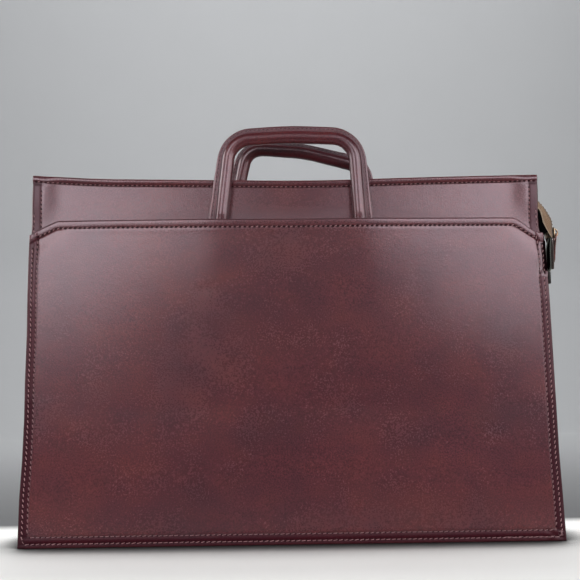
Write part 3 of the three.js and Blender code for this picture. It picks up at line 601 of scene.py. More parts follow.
def build_panel(name, side, mat, seed):
    xs = edge_steps(2 * HALF_WIDTH) - HALF_WIDTH
    top = np.array([0.0, 0.12, 0.4, 0.8, 1.3, 1.9, 2.6, 3.3, 4.0, 4.5, 4.9, 5.3, 5.7, 6.1, 6.6, 7.2, 8.0, 9.0, 10.2, 11.6, 13.5])
    bottom = np.array([0.0, 0.12, 0.4, 0.8, 1.5, 3.0, 6.0, 10.0])
    zt = np.interp(xs, PANEL_TOP[:, 0], PANEL_TOP[:, 1])
    zt = np.convolve(np.pad(zt, 6, mode="edge"), np.ones(13) / 13, mode="valid")
    nmid = 78
    rows = []
    for d in bottom:
        rows.append(("b", d))
    for k in range(1, nmid):
        rows.append(("m", k / nmid))
    for d in top[::-1]:
        rows.append(("t", d))
    X, Z, DT, DB = [], [], [], []
    for kind, v in rows:
        if kind == "b":
            z = np.full_like(xs, v)
        elif kind == "t":
            z = zt - v
        else:
            z = bottom[-1] + (zt - top[-1] - bottom[-1]) * v
        X.append(xs.copy())
        Z.append(z)
        DT.append(zt - z)
        DB.append(z.copy())
    X, Z, DT, DB = map(np.array, (X, Z, DT, DB))
    DX = HALF_WIDTH - np.abs(X)                      # from the side edge
    x = across(PANEL_EDGE, X, Z)
    above = smooth01((Z - 236) / 8)                  # side hem only shows above the pocket
    base = panel_outer(x, Z) + ripple(x, Z, 0.22, seed) * smooth01(DX / 14) * smooth01(DT / 14)
    # rolled top hem: proud just under its edge, then turned in to the stitches
    q = np.clip(DT / TOP_HEM, 0, 1)
    puff = 0.78 * np.sin(math.pi * q ** 0.68) ** 1.1
    corner = smooth01(DX / 13)
    puff = puff * (1 + 0.55 * (1 - corner))
    base = base + puff - 0.45 * dip(DT, TOP_HEM + 0.1, 0.75)
    # the side hem is double, and stands proud near the top, where both hems lie on each other
    base = base + 1.45 * (1 - smooth01((DX - 7.0) / 17.0)) * smooth01((Z - 244) / 26) * smooth01((DT - 0.5) / TOP_HEM)
    base = base - (0.34 * dip(DX, SIDE_HEM, 0.75) + 0.9 * np.clip(1 - DX / 3.6, 0, 1) ** 2) * above * smooth01((DT - TOP_HEM) / 3)
    base = base - 0.6 * dip(DT, TOP_HEM + 1.7, 1.1) * (1 - smooth01((DX - 6) / 8)) * above
    base = base - turned_back(x, Z)
    t_in = PANEL_T + 1.5 * smooth01((8.6 - DT) / 0.8) + 1.5 * smooth01((8.6 - DX) / 0.8) * smooth01((Z - 242) / 1.2) * (1 - smooth01((8.6 - DT) / 0.8))
    inner0 = panel_outer(x, Z) - t_in - turned_back(x, Z)
    r = np.minimum(round_edge(DX, 1.25), np.minimum(round_edge(DT, 1.5), round_edge(DB, 0.9)))
    mid = (base + inner0) / 2
    half = (base - inner0) / 2 * (0.12 + 0.88 * r)
    A = np.stack([x, side * (mid + half), Z], -1)
    B = np.stack([x, side * (mid - half), Z], -1)
    v, f = slab(A, B)
    edge = np.clip(1.15 - np.minimum(np.minimum(DX, DT), DB + 1.0) / 1.6, 0, 1)
    # painted shade: in the stitch grooves, in a crease under the top hem near the corners, on the hem's lower half,
    # along the top edge, and across the middle just above the pocket, where the proud pocket would shade the panel
    painted_shade = np.maximum.reduce([0.42 * dip(DT, TOP_HEM + 0.5, 0.9), 0.35 * dip(DX, SIDE_HEM, 0.8) * above,
                              0.85 * dip(DT, TOP_HEM + 1.8, 1.3) * (1 - smooth01((DX - 5) / 8)),
                              0.15 * np.clip((DT - 2.6) / 2.4, 0, 1) * (DT < TOP_HEM + 0.3), 0.35 * dip(DT, 0, 0.6),
                              0.42 * smooth01((264 - Z) / 16) * smooth01((Z - 240) / 6) * np.exp(-(x / 120.0) ** 4)])
    # painted shade on the side hem's band
    band = 0.72 * smooth01((SIDE_HEM + 0.5 - DX) / 1.5) * above * smooth01((DT - 4.5) / 1.5)
    ob = put(name, v, f, mat, nodes=[name], second=[(FOLD_PAINTED_SHADOW, in_fold), (HIDE_HEM_SHADED, lambda c: panel_rim(c, side))],
             attrs={"band": np.concatenate([band.ravel(), band.ravel()]), "edge": np.concatenate([edge.ravel(), edge.ravel() * 0.4]), "painted_shade": np.concatenate([painted_shade.ravel(), painted_shade.ravel() * 0])})

    def on(xx, zz):
        xn = xx
        z = np.asarray(zz, float)
        xw = float(across(PANEL_EDGE, np.array(xn), z))
        dx, dt = HALF_WIDTH - abs(xn), float(np.interp(xn, xs, zt)) - float(z)
        y = panel_outer(xw, z) - 0.16 + 1.45 * float((1 - smooth01((dx - 7.0) / 17.0)) * smooth01((z - 244) / 26) * smooth01((dt - 0.5) / TOP_HEM))
        y += float(ripple(xw, z, 0.22, seed) * smooth01(dx / 14) * smooth01(dt / 14))
        return np.array([xw, side * float(y), float(z)])

    sew = Sewing()
    line = [(xx, float(np.interp(xx, xs, zt)) - TOP_HEM) for xx in np.linspace(-200.5, 200.5, 120)]
    pn = [surface_normal(on, a, b, side) for a, b in line]
    sew.row([p for p, _ in pn], [n for _, n in pn], pitch=3.75, length=2.2, radius=0.30, lift=0.08, hole=(1.20, 0.92))
    for sx in (-1, 1):
        col = [(sx * (HALF_WIDTH - SIDE_HEM), zz) for zz in np.linspace(276.0, 247.0, 12)]
        pn = [surface_normal(on, a, b, side) for a, b in col]
        sew.row([p for p, _ in pn], [n for _, n in pn], pitch=3.8, length=2.4, radius=0.29, hole=(0.85, 0.68))
        col = [(sx * (HALF_WIDTH - 2.4), zz) for zz in np.linspace(258.0, 241.0, 8)]
        pn = [surface_normal(on, a, b, side) for a, b in col]
        sew.row([p for p, _ in pn], [n for _, n in pn], pitch=3.8, length=2.2, radius=0.26, lift=0.3, hole=(0.95, 0.70))
    sew.done(name + "_stitches")
    return ob


# ------------------------------------------------------------------ pockets
POCKET_HEM = 6.2
SEAMS = (3.3, 7.1)      # the two rows from the side edges
SEAMS_LOW = (3.0, 8.0)  # and from the bottom


def build_pocket(name, side, spec, mat, seed):
    xs = edge_steps(2 * HALF_WIDTH, step=2.4) - HALF_WIDTH
    xs = np.concatenate([xs[np.abs(np.abs(xs) - 186) > 9], *[sx * np.arange(177.4, 194.8, 0.9) for sx in (-1, 1)]])
    xs = np.sort(xs)
    top = np.array([0.0, 0.12, 0.4, 0.8, 1.3, 1.9, 2.6, 3.3, 4.0, 4.7, 5.3, 5.8, 6.2, 6.6, 7.1, 7.8, 8.8, 10.0, 11.5, 13.5])
    bottom = np.array([0.0, 0.12, 0.4, 0.8, 1.4, 2.2, 3.0, 3.8, 4.8, 6.0, 7.2, 8.0, 8.8, 10.0, 12.0])
    zt = np.mean([np.interp(xs + o, POCKET_TOP[:, 0], POCKET_TOP[:, 1]) for o in (-1.6, -0.8, 0, 0.8, 1.6)], axis=0)
    nmid = 84
    rows = [("b", d) for d in bottom] + [("m", k / nmid) for k in range(1, nmid)] + [("t", d) for d in top[::-1]]
    X, Z, DT = [], [], []
    for kind, v in rows:
        z = np.full_like(xs, v) if kind == "b" else (zt - v if kind == "t" else bottom[-1] + (zt - top[-1] - bottom[-1]) * v)
        X.append(xs.copy())
        Z.append(z)
        DT.append(zt - z)
    X, Z, DT = map(np.array, (X, Z, DT))
    DX, DB = HALF_WIDTH - np.abs(X), Z
    x = across(SEAM_EDGE, X, Z)
    off = bulge(x, Z, spec["lo"], spec["hi"], 0.03) - dent(x, Z) * np.clip((Z - 10) / 30, 0, 1)
    y_in = panel_outer(x, Z) + CLEAR + np.maximum(0, off)
    free = smooth01(DX / 16) * smooth01(DB / 16) * smooth01(DT / 12)
    wave = ripple(x, Z, 0.30, seed) * free
    # under each chamfer the corner is drawn tight, as a small flat facet with a soft crease below it; the facet also
    # gets a painted highlight
    facet, facet_painted_highlight = 0.0, 0.0
    for sx in (-1, 1):
        d = ((sx * x - 173.0) * 0.674 + (Z - 243.0) * 0.738)
        d = 1.2 * np.log1p(np.exp(np.clip(d / 1.2, -30, 30))) * smooth01((sx * x - 166) / 8)
        facet = facet - 0.085 * np.minimum(d, 9)
        facet_painted_highlight = np.maximum(facet_painted_highlight, smooth01(d / 3) * smooth01((DT - POCKET_HEM) / 1.5) * smooth01((DX - 7.5) / 2))
    y_out = y_in + POCKET_T + wave + facet * smooth01((DT - POCKET_HEM) / 2)
    q = np.clip(DT / POCKET_HEM, 0, 1)
    y_out = y_out + 0.22 * np.sin(math.pi * q ** 0.8) ** 1.1 - 0.15 * dip(DT, POCKET_HEM, 0.8) + 0.05 * dip(DT, POCKET_HEM + 2.6, 1.6)
    for s0 in SEAMS:
        y_out = y_out - 0.26 * dip(DX, s0, 0.8) * smooth01((DB - 1) / 3)
    for s0 in SEAMS_LOW:
        y_out = y_out - 0.34 * dip(DB, s0, 0.9) * smooth01((DX - 1) / 3)
    y_out = y_out + 0.22 * np.maximum(dip(DX, sum(SEAMS) / 2, 1.2), dip(DB, sum(SEAMS_LOW) / 2, 1.6))
    away = np.hypot(x - 199.0, Z - 6.0)
    y_out = y_out + 0.34 * np.sin(0.95 * (x - 199.0) * 0.55 + 0.95 * (Z - 6.0) * 1.1) * np.exp(-(away / 8.5) ** 2) * smooth01(DX / 1.5)
    y_out = y_out - 0.75 * np.clip(1 - DX / 3.3, 0, 1) ** 1.5 - turned_back(x, Z)
    y_in = y_in - turned_back(x, Z)
    r = np.minimum(round_edge(DX, 1.0), np.minimum(round_edge(DT, 1.4), round_edge(DB, 1.0)))
    mid, half = (y_out + y_in) / 2, (y_out - y_in) / 2 * (0.12 + 0.88 * r)
    A = np.stack([x, side * (mid + half), Z], -1)
    B = np.stack([x, side * (mid - half), Z], -1)
    v, f = slab(A, B)
    edge = np.clip(1.15 - np.minimum(np.minimum(DX, DT + 1.2), DB) / 1.5, 0, 1)
    # painted highlight on the facet under each chamfer, mixed in with the worn edges
    edge = np.maximum(edge, 0.80 * facet_painted_highlight)
    # painted shade: in the stitch grooves, on the hem's lower half, in a dark line along the top edge, down the side
    # strips (more of it lower down) and at the outer edges
    painted_shade = np.maximum.reduce([0.18 * dip(DT, POCKET_HEM, 0.8), 0.12 * np.clip((DT - 2.8) / 2.8, 0, 1) * (DT < POCKET_HEM + 0.3), 0.95 * dip(DT, 0, 0.75), 0.30 * smooth01((7.0 - DX) / 2.0) * smooth01((150 - Z) / 90),
                              0.35 * np.clip(1 - DX / 3.0, 0, 1)]
                             + [0.30 * dip(DX, s0, 0.8) for s0 in SEAMS] + [0.55 * dip(DB, s0, 0.9) for s0 in SEAMS_LOW])
    # painted shade on the bands outside the stitch rows and on the bottom band, darker lower down
    low = smooth01((190 - Z) / 120)
    rim = smooth01((SEAMS[1] + 0.3 - DX) / 1.2)
    band = np.maximum(rim * (0.42 + 0.50 * low), 0.62 * smooth01((SEAMS_LOW[1] + 0.2 - DB) / 1.5))
    band = np.maximum(band, 0.95 * smooth01((2.6 - DX) / 0.8) * low) * smooth01((DT - 3.0) / 2.0)
    # the right corner is bunched up, with a few short creases into it
    ob = put(name, v, f, mat, nodes=[name], second=[(FOLD_PAINTED_SHADOW, in_fold), (HIDE_RIM_SHADED, lambda c: pocket_rim(c, side)), (HIDE_RIM_MID_SHADED, lambda c: pocket_rim(c, side, 110.0, 185.0)),
                     (HIDE_HEM_SHADED, lambda c: pocket_rim(c, side, 185.0, 300.0))],
             attrs={"band": np.concatenate([band.ravel(), band.ravel()]), "edge": np.concatenate([edge.ravel(), edge.ravel() * 0.4]), "painted_shade": np.concatenate([painted_shade.ravel(), painted_shade.ravel() * 0])})

    def on(xx, zz):
        z = np.asarray(zz, float)
        xw = float(across(SEAM_EDGE, np.array(xx, float), z))
        y = panel_outer(xw, z) + CLEAR + max(0.0, float(bulge(xw, z, spec["lo"], spec["hi"], 0.03) - dent(xw, z) * np.clip((z - 10) / 30, 0, 1))) + POCKET_T
        tt = float(np.interp(xx, xs, zt)) - float(z)
        y = y - 0.20 + 0.16 * float(smooth01((9.0 - tt) / 2.0)) - float(turned_back(xw, z))
        dxx = HALF_WIDTH - abs(xx)
        fr = float(smooth01(dxx / 16) * smooth01(z / 16) * smooth01(tt / 12))
        y = y + float(ripple(xw, z, 0.30, seed)) * fr
        return np.array([xw, side * float(y), float(z)])

    def sew_path(path, sew, **kw):
        pn = [surface_normal(on, a, b, side) for a, b in path]
        sew.row([p for p, _ in pn], [n for _, n in pn], **kw)

    sew = Sewing()
    # top row, down over both chamfers into the side seams
    xt = np.linspace(-196.6, 196.6, 190)
    top_sew = Sewing()
    sew_path([(a, float(np.interp(a, xs, zt)) - POCKET_HEM) for a in xt], top_sew, pitch=3.85, length=2.6, radius=0.30, lift=0.12, slant=0.42, hole=(1.50, 1.10))
    rim_sew = Sewing()
    for k, s0 in enumerate(SEAMS):
        use = rim_sew if k == 0 else sew
        for sx in (-1, 1):
            ztop = 229.0 if k == 0 else 236.0
            path = [(sx * (HALF_WIDTH - s0), zz) for zz in np.linspace(ztop, SEAMS_LOW[k] + 2.5, 60)]
            sew_path(path, use, pitch=3.9, length=2.9, radius=0.34, slant=0.34 * -sx, hole=(0.80, 0.62))
        path = [(xx, SEAMS_LOW[k]) for xx in np.linspace(-(HALF_WIDTH - s0 - 2.0), HALF_WIDTH - s0 - 2.0, 110)]
        sew_path(path, use, pitch=4.0, length=3.3, radius=0.28, hole=(0.60, 0.45), slant=0.20)
    # the corners: one slanting stitch on the left, a worn bunch of thread ends on the right
    sew_path([(-(HALF_WIDTH - 3.4), 5.6), (-(HALF_WIDTH - 5.4), 3.2)], sew, pitch=3.0, length=2.9, slant=0.0, hole=(0.3, 0.3))
    for k in range(9):
        u, v = 0.9 * math.sin(k * 2.1), 0.8 * math.cos(k * 1.7)
        sew_path([(HALF_WIDTH - 6.2 + u, 3.4 + v + 0.25 * k), (HALF_WIDTH - 2.4 + u * 0.5, 4.4 + v + 0.45 * k)], sew, pitch=4.2, length=3.6, radius=0.20, slant=0.35 * math.sin(k * 3.7), hole=(0.1, 0.1), lift=0.22)
    for k in range(12):
        x0 = 158 + 3.4 * k
        sew_path([(x0, 2.5 + 0.5 * math.sin(k * 2.7)), (x0 + 3.4, 3.7 + 0.4 * math.cos(k * 1.9))], sew, pitch=3.5, length=3.6, radius=0.24, slant=-0.3, hole=(0.1, 0.1), lift=0.2)
    rim_sew.done(name + "_rim_stitches")
    top_sew.done(name + "_top_stitches", THREAD_TOP)
    sew.done(name + "_stitches", THREAD_SIDE)
    return ob


# ------------------------------------------------------------------ gusset
def build_gusset():
    def edge(right, z):
        return (np.interp(z, PANEL_EDGE[:, 0], PANEL_EDGE[:, 2]) if right else -np.interp(z, PANEL_EDGE[:, 0], PANEL_EDGE[:, 1])) - 0.5

    st = []

    def side_run(right, zs):
        for z in zs:
            st.append(((1 if right else -1) * edge(right, z), z, -1 if right else 1, 0, z, 5 + 5 * float(smooth01((z - 12) / 20))))

    def corner(right, degs):
        for deg in degs:
            a, s, e = math.radians(deg), (1 if right else -1), edge(right, 0)
            st.append((s * (e - CORNER_R + CORNER_R * math.cos(a)), CORNER_R - CORNER_R * math.sin(a), -s * math.cos(a), math.sin(a), 0.0, 5.0))

    side_run(False, list(np.linspace(GUSSET_TOP_LEFT, 14, 76)) + [10])
    corner(False, range(0, 91, 15))
    for xx in np.linspace(-192, 192, 78):
        st.append((xx, 0.0, 0.0, 1.0, 0.0, 5 + 5 * float(smooth01((192 - abs(xx)) / 16))))
    corner(True, range(90, -1, -15))
    side_run(True, [10] + list(np.linspace(14, GUSSET_TOP_RIGHT, 66)))
    web = GAP_BOTTOM / 2 - CLEAR - GUSSET_T
    rows = []
    for k, (ox, oz, nx, nz, z, flange) in enumerate(st):
        y = half_gap(z) - CLEAR - GUSSET_T / 2
        half = y - FOLD_R * 0.4
        on = float(smooth01((oz - 8) / 30))
        depth = math.sqrt(max(0.0, web * web - half * half)) * on
        n0 = GUSSET_T / 2
        wob = 0.5 * math.sin(oz / 13.0 + (2 if ox > 0 else 0)) * on
        prof = [(flange, y), ((flange + n0) / 2 + 0.8, y), (n0 + FOLD_R * 1.3, y), (n0 + FOLD_R * 0.8, y - 0.10), (n0 + FOLD_R * 0.35, y - FOLD_R * 0.3), (n0 + 0.05, y - FOLD_R * 0.65),
                (n0, y - FOLD_R), (n0 + 0.03 * depth, y - FOLD_R - 0.8), (n0 + depth * 0.12, y - FOLD_R - 1.8)]
        for q in (0.30, 0.48, 0.66, 0.82):
            prof.append((n0 + depth * q + wob * math.sin(q * 3.1), half * (1 - q) ** 0.92))
        prof += [(n0 + depth * 0.93, 1.7), (n0 + depth * 0.97, 0.8)]
        lean = lambda n, yy: yy * (half_gap(oz + nz * n) - CLEAR - GUSSET_T / 2) / y
        left = [(ox + nx * n, -lean(n, yy), oz + nz * n) for n, yy in prof]
        mid = [(ox + nx * (n0 + depth * 0.985), 0.0, oz + nz * (n0 + depth * 0.985))]
        rows.append(left + mid + [(a, -b, c) for a, b, c in left[::-1]])
    G = np.array(rows, float)
    N = grid_normals(G)
    A, B = G + N * GUSSET_T / 2, G - N * GUSSET_T / 2
    A[..., 2] = np.maximum(A[..., 2], 0.0)
    B[..., 2] = np.maximum(B[..., 2], 0.0)
    v, f = slab(A, B)
    n, m = G.shape[:2]
    e = np.zeros((n, m))
    e[:2, :] = e[-2:, :] = 0.9
    e[:, m // 2] = 0.45
    e[:, 5:8] = 0.5
    e[:, m - 8:m - 5] = 0.5
    sm = np.zeros((n, m))
    put("gusset_shell", v, f, HIDE_GUSSET, nodes=["gusset"], attrs={"edge": np.concatenate([e.ravel(), e.ravel()]), "painted_shade": np.concatenate([sm.ravel(), sm.ravel()])})


# ------------------------------------------------------------------ handles
def round_path(path, step):
    pts = [np.array(path[0][:2], float)]
    for i in range(1, len(path) - 1):
        q, r = np.array(path[i][:2], float), path[i][2]
        a = np.array(path[i - 1][:2], float) - q
        b = np.array(path[i + 1][:2], float) - q
        a, b = a / np.linalg.norm(a), b / np.linalg.norm(b)
        half = math.acos(max(-1.0, min(1.0, float(a.dot(b))))) / 2
        c = q + (a + b) / np.linalg.norm(a + b) * r / math.sin(half)
        s, e = q + a * r / math.tan(half), q + b * r / math.tan(half)
        a0 = math.atan2(s[1] - c[1], s[0] - c[0])
        turn = math.atan2(e[1] - c[1], e[0] - c[0]) - a0
        turn = (turn + math.pi) % (2 * math.pi) - math.pi
        k = max(3, int(abs(turn) * r / step))
        for j in range(k + 1):
            w = a0 + turn * j / k
            pts.append(c + r * np.array([math.cos(w), math.sin(w)]))
    pts.append(np.array(path[-1][:2], float))
    return np.array(pts)


def resample(P, step):
    s = np.concatenate([[0], np.cumsum(np.linalg.norm(np.diff(P, axis=0), axis=1))])
    q = np.linspace(0, s[-1], int(s[-1] / step) + 1)
    return np.stack([np.interp(q, s, P[:, k]) for k in range(P.shape[1])], -1), q


def build_handle(name, side, spec, seed):
    P, s = resample(round_path(spec["path"], 1.6), 1.7)
    for _ in range(3):
        P[1:-1] = (P[:-2] + 2 * P[1:-1] + P[2:]) / 4
    T = np.gradient(P, axis=0)
    T /= np.linalg.norm(T, axis=1, keepdims=True)
    OUT = np.stack([-T[:, 1], T[:, 0]], -1)
    bend = np.zeros(len(P))
    ang = np.unwrap(np.arctan2(T[:, 1], T[:, 0]))
    bend = np.abs(np.gradient(ang, s))
    bend = np.convolve(bend, np.ones(7) / 7, mode="same") / 0.05
    x, z = P[:, 0], P[:, 1]
    room = (bulge(x, np.minimum(z, POCKET_MOUTH_Z), spec["lo"], spec["hi"]) - CLEAR) / 2 / HANDLE_R
    flat = np.minimum(1, np.where(z < POCKET_MOUTH_Z, room * 0.97, room * 0.97 + (z - POCKET_MOUTH_Z) / 60))
    yc = panel_outer(x, z) + CLEAR + HANDLE_R * flat
    F = np.interp(z, [q[0] for q in spec["flange"]], [q[1] for q in spec["flange"]])
    half_t = 1.22
    open_a = math.asin(half_t * 0.85 / HANDLE_R)
    steps = 24
    ring = []                                        # u, v, share of the flange width, painted shade, edge
    for k in range(steps + 1):
        a = open_a + (2 * math.pi - 2 * open_a) * k / steps
        # the groove between roll and flange gets painted shade, and so does the flange's stitch line
        painted_shade = 1.4 if k in (0, steps) else (0.6 if k in (1, steps - 1) else 0.0)
        rr = HANDLE_R - (0.50 if k in (0, steps) else 0.0)
        ring.append((rr * math.cos(a), rr * math.sin(a), 0.0, painted_shade, 0.0))
    flange = [(0.10, 0.92, 0.35, 0.0), (0.30, 1.04, 0.1, 0.0), (0.45, 0.90, 0.45, 0.0), (0.60, 1.03, 0.1, 0.0), (0.84, 1.0, 0.0, 0.2), (0.95, 0.72, 0.0, 0.8), (1.0, 0.25, 0.0, 1.0)]
    ring += [(HANDLE_R, -half_t * h, q, sm, e) for q, h, sm, e in flange]
    ring += [(HANDLE_R, half_t * h, q, sm, e) for q, h, sm, e in flange[::-1]]
    ring = np.array(ring)
    V, E, S = [], [], []
    for i in range(len(P)):
        u = ring[:, 0] + ring[:, 2] * F[i]
        v = ring[:, 1]
        inner = np.clip(-u / HANDLE_R, 0, 1)
        crimp = -0.22 * min(1.0, bend[i]) * inner * (0.5 + 0.5 * math.sin(s[i] * 2 * math.pi / 2.9 + 0.4 * math.sin(i)))
        lump = 0.07 * math.sin(s[i] / 7.3 + seed) + 0.05 * math.sin(s[i] / 3.1 + 2 * seed)
        k = 1 + np.where(ring[:, 2] == 0, (crimp + lump) / HANDLE_R, 0)
        xx = P[i, 0] + OUT[i, 0] * u * k
        zz = P[i, 1] + OUT[i, 1] * u * k
        yy = side * (yc[i] + v * k * flat[i])
        V.append(np.stack([xx, yy, zz], -1))
        E.append(ring[:, 4])
        S.append(ring[:, 3])
    V = np.array(V)
    n, m = V.shape[:2]
    put(name + "_roll", V.reshape(-1, 3), tube_faces(n, m), HIDE_HANDLE, nodes=[name], attrs={"edge": np.array(E).ravel(), "painted_shade": np.array(S).ravel()})
    sew = Sewing()
    for face in (-1, 1):
        keep = z > 232
        u = HANDLE_R + 0.45 * F
        pts = np.stack([x + OUT[:, 0] * u, side * (yc + face * half_t * 0.92 * flat), z + OUT[:, 1] * u], -1)[keep]
        nrm = np.tile([0.0, side * face * 1.0, 0.0], (len(pts), 1))
        sew.row(pts, nrm, pitch=3.5, length=2.2, radius=0.24, lift=0.06, hole=(0.5, 0.4))
    sew.done(name + "_stitches", THREAD_DARK)


# ------------------------------------------------------------------ zip
def catmull(rows, per):
    R = np.array(rows, float)
    out = []
    for i in range(len(R) - 1):
        p0, p1, p2, p3 = R[max(i - 1, 0)], R[i], R[i + 1], R[min(i + 2, len(R) - 1)]
        for k in range(per):
            t = k / per
            out.append(0.5 * ((2 * p1) + (-p0 + p2) * t + (2 * p0 - 5 * p1 + 4 * p2 - p3) * t * t + (-p0 + 3 * p1 - 3 * p2 + p3) * t ** 3))
    out.append(R[-1])
    return np.array(out)


def chain_z(x):
    return np.interp(x, PANEL_TOP[:, 0], PANEL_TOP[:, 1]) - ZIP_DROP


def tape_rows(side):
    rows = []
    t = TAPE_T / 2
    for x in np.linspace(-198, 160, 42):
        z = chain_z(x)
        y = half_gap(z - 4) + swell(x, z) - 1.5 - CLEAR - t
        rows.append([(x, CHAIN_HALF + CLEAR, z), (x, CHAIN_HALF + 0.55 * (y - CHAIN_HALF), z + 0.1), (x, y - 0.3, z - 1.2), (x, y, z - 9)])
    for cx, cz, ex, ey, ez in TAIL:
        w = min(max((cx - 160) / 45, 0), 1)
        e0, e3 = np.array((cx, CHAIN_HALF + CLEAR, cz)), np.array((ex, ey, ez))

        def mix(k, lift):
            return (e0[0] + (e3[0] - e0[0]) * k * w, e0[1] + (e3[1] - e0[1]) * (k + (1 - k) * lift * (1 - w)), e0[2] + (e3[2] - e0[2]) * k * (w + (1 - w) * 0.15))
        rows.append([tuple(e0), mix(0.35, 0.4), mix(0.7, 0.9), tuple(e3)])
    for x, y, z, fx, fy, bx, by in TAPE_END:
        e0, e3 = np.array((x, y, z)), np.array((fx, fy, z) if side < 0 else (bx, by, z))
        rows.append([tuple(e0), tuple(e0 + (e3 - e0) * 0.35), tuple(e0 + (e3 - e0) * 0.7), tuple(e3)])
    return np.array(rows, float)


def build_tape(name, side, mat):
    R = tape_rows(side)
    n = len(R)
    fine = []
    for j in range(4):
        straight = R[:42, j]
        tail = catmull(R[41:, j], 5)
        fine.append(np.concatenate([straight, tail[1:]]))
    F = np.stack(fine, 1)                            # stations, 4, 3
    cols = []
    q = np.array([0, 0.10, 0.22, 0.36, 0.5, 0.64, 0.78, 0.90, 1.0]) * 3
    for t in q:
        k = min(int(t), 2)
        w = t - k
        cols.append(F[:, k] * (1 - w) + F[:, k + 1] * w)
    G = np.stack(cols, 1)
    for _ in range(2):
        G[1:-1, 1:-1] = (2 * G[1:-1, 1:-1] + G[1:-1, :-2] + G[1:-1, 2:]) / 4
    G[..., 1] *= side
    N = grid_normals(G)
    A, B = G + N * TAPE_T / 2, G - N * TAPE_T / 2
    v, f = slab(A, B)
    s = np.concatenate([[0], np.cumsum(np.linalg.norm(np.diff(G[:, 4], axis=0), axis=1))])
    w = np.concatenate([[0], np.cumsum(np.linalg.norm(np.diff(G[60], axis=0), axis=1))])
    uv = np.stack(np.meshgrid(s, w, indexing="ij"), -1).reshape(-1, 2)
    edge = np.zeros(G.shape[:2])
    edge[:, -1], edge[:, -2] = 1.0, 0.35
    # painted shade: the tape's chain-side strip and its tail below the slider are darkened, and its inner faces are
    # dark all over
    painted_shade = np.zeros(G.shape[:2])
    painted_shade[:, 0], painted_shade[:, 1] = 0.9, 0.3
    low = smooth01((238 - G[..., 2]) / 3) * (G[..., 0] > 205)
    painted_shade = np.maximum(painted_shade, 0.97 * low)
    outer = (N * np.array([0.7, 0.0, 0.7])).sum(-1) > 0
    shade_a, shade_b = np.where(outer, painted_shade, 1.0), np.where(outer, 1.0, painted_shade)
    edge_a, edge_b = np.where(outer, edge, edge * 0.3), np.where(outer, edge * 0.3, edge)
    put(name + "_weave", v, f, mat, nodes=[name], uv=np.concatenate([uv, uv]),
        attrs={"edge": np.concatenate([edge_a.ravel(), edge_b.ravel()]), "painted_shade": np.concatenate([shade_a.ravel(), shade_b.ravel()])})
    # a near-black sheet of painted shade behind the open rows: each side's half meets the other in the middle
    R2 = catmull([r for r in ROW if r[2] > 209.5], 5)
    g = np.stack([np.stack([R2[:, 0] + 0.3 * (1 - w), side * (0.02 + np.maximum(R2[:, 1] - 0.95, 0.1) * w), R2[:, 2]], -1) for w in np.linspace(0, 1, 7)], 1)
    nn = grid_normals(g)
    v, f = slab(g + nn * 0.15, g - nn * 0.15)
    # two more near-black sheets of painted shade: in the corner under the tape's tail, and behind the turned-back strip
    # at the right end
    corner_a = catmull([(205.2, 9.3, 257.4), (206.4, 9.2, 252.8), (207.6, 8.4, 248.2), (209.9, 7.0, 244.2), (212.4, 5.4, 240.6)], 4)
    corner_b = catmull([(202.8, 9.6, 256.5), (203.2, 9.6, 251.0), (203.6, 9.4, 246.0), (204.4, 9.0, 241.5), (206.6, 8.2, 238.2)], 4)
    g2 = np.stack([corner_a * (1 - w) + corner_b * w for w in np.linspace(0, 1, 6)], 1) * np.array([1.0, side, 1.0])
    n2 = grid_normals(g2)
    v2, f2 = slab(g2 + n2 * 0.15, g2 - n2 * 0.15)
    f = list(f) + [tuple(i + len(v) for i in q) for q in f2]
    v = np.concatenate([v, v2])
    zs = np.linspace(207.0, 233.5, 12)
    g3 = np.stack([np.stack([203.0 + 7.0 * w + 0 * zs, 8.6 - 4.4 * w + 0 * zs, zs], -1) for w in np.linspace(0, 1, 5)], 1) * np.array([1.0, side, 1.0])
    n3 = grid_normals(g3)
    v3, f3 = slab(g3 + n3 * 0.15, g3 - n3 * 0.15)
    f = list(f) + [tuple(i + len(v) for i in q) for q in f3]
    v = np.concatenate([v, v3])
    n = len(v)
    put(name + "_shade_sheet", v, f, SHADE_SHEET, uv=v[:, 1:3], attrs={"edge": np.zeros(n), "painted_shade": np.zeros(n)})


def tooth(c, t, a, b, wide, thick, long):
    """One moulded tooth: a waisted block with rounded head. a is across, b is through."""
    vs = []
    prof = [(-1.0, 0.72), (-0.55, 1.0), (0.25, 1.0), (0.62, 0.78), (1.0, 0.62)]
    for u, k in prof:
        for p, q in ((-1, -1), (1, -1), (1, 1), (-1, 1)):
            vs.append(c + a * (u * wide) + t * (p * long * k) + b * (q * thick * (0.86 if abs(u) > 0.9 else 1.0)))
    return vs, tube_faces(len(prof), 4)


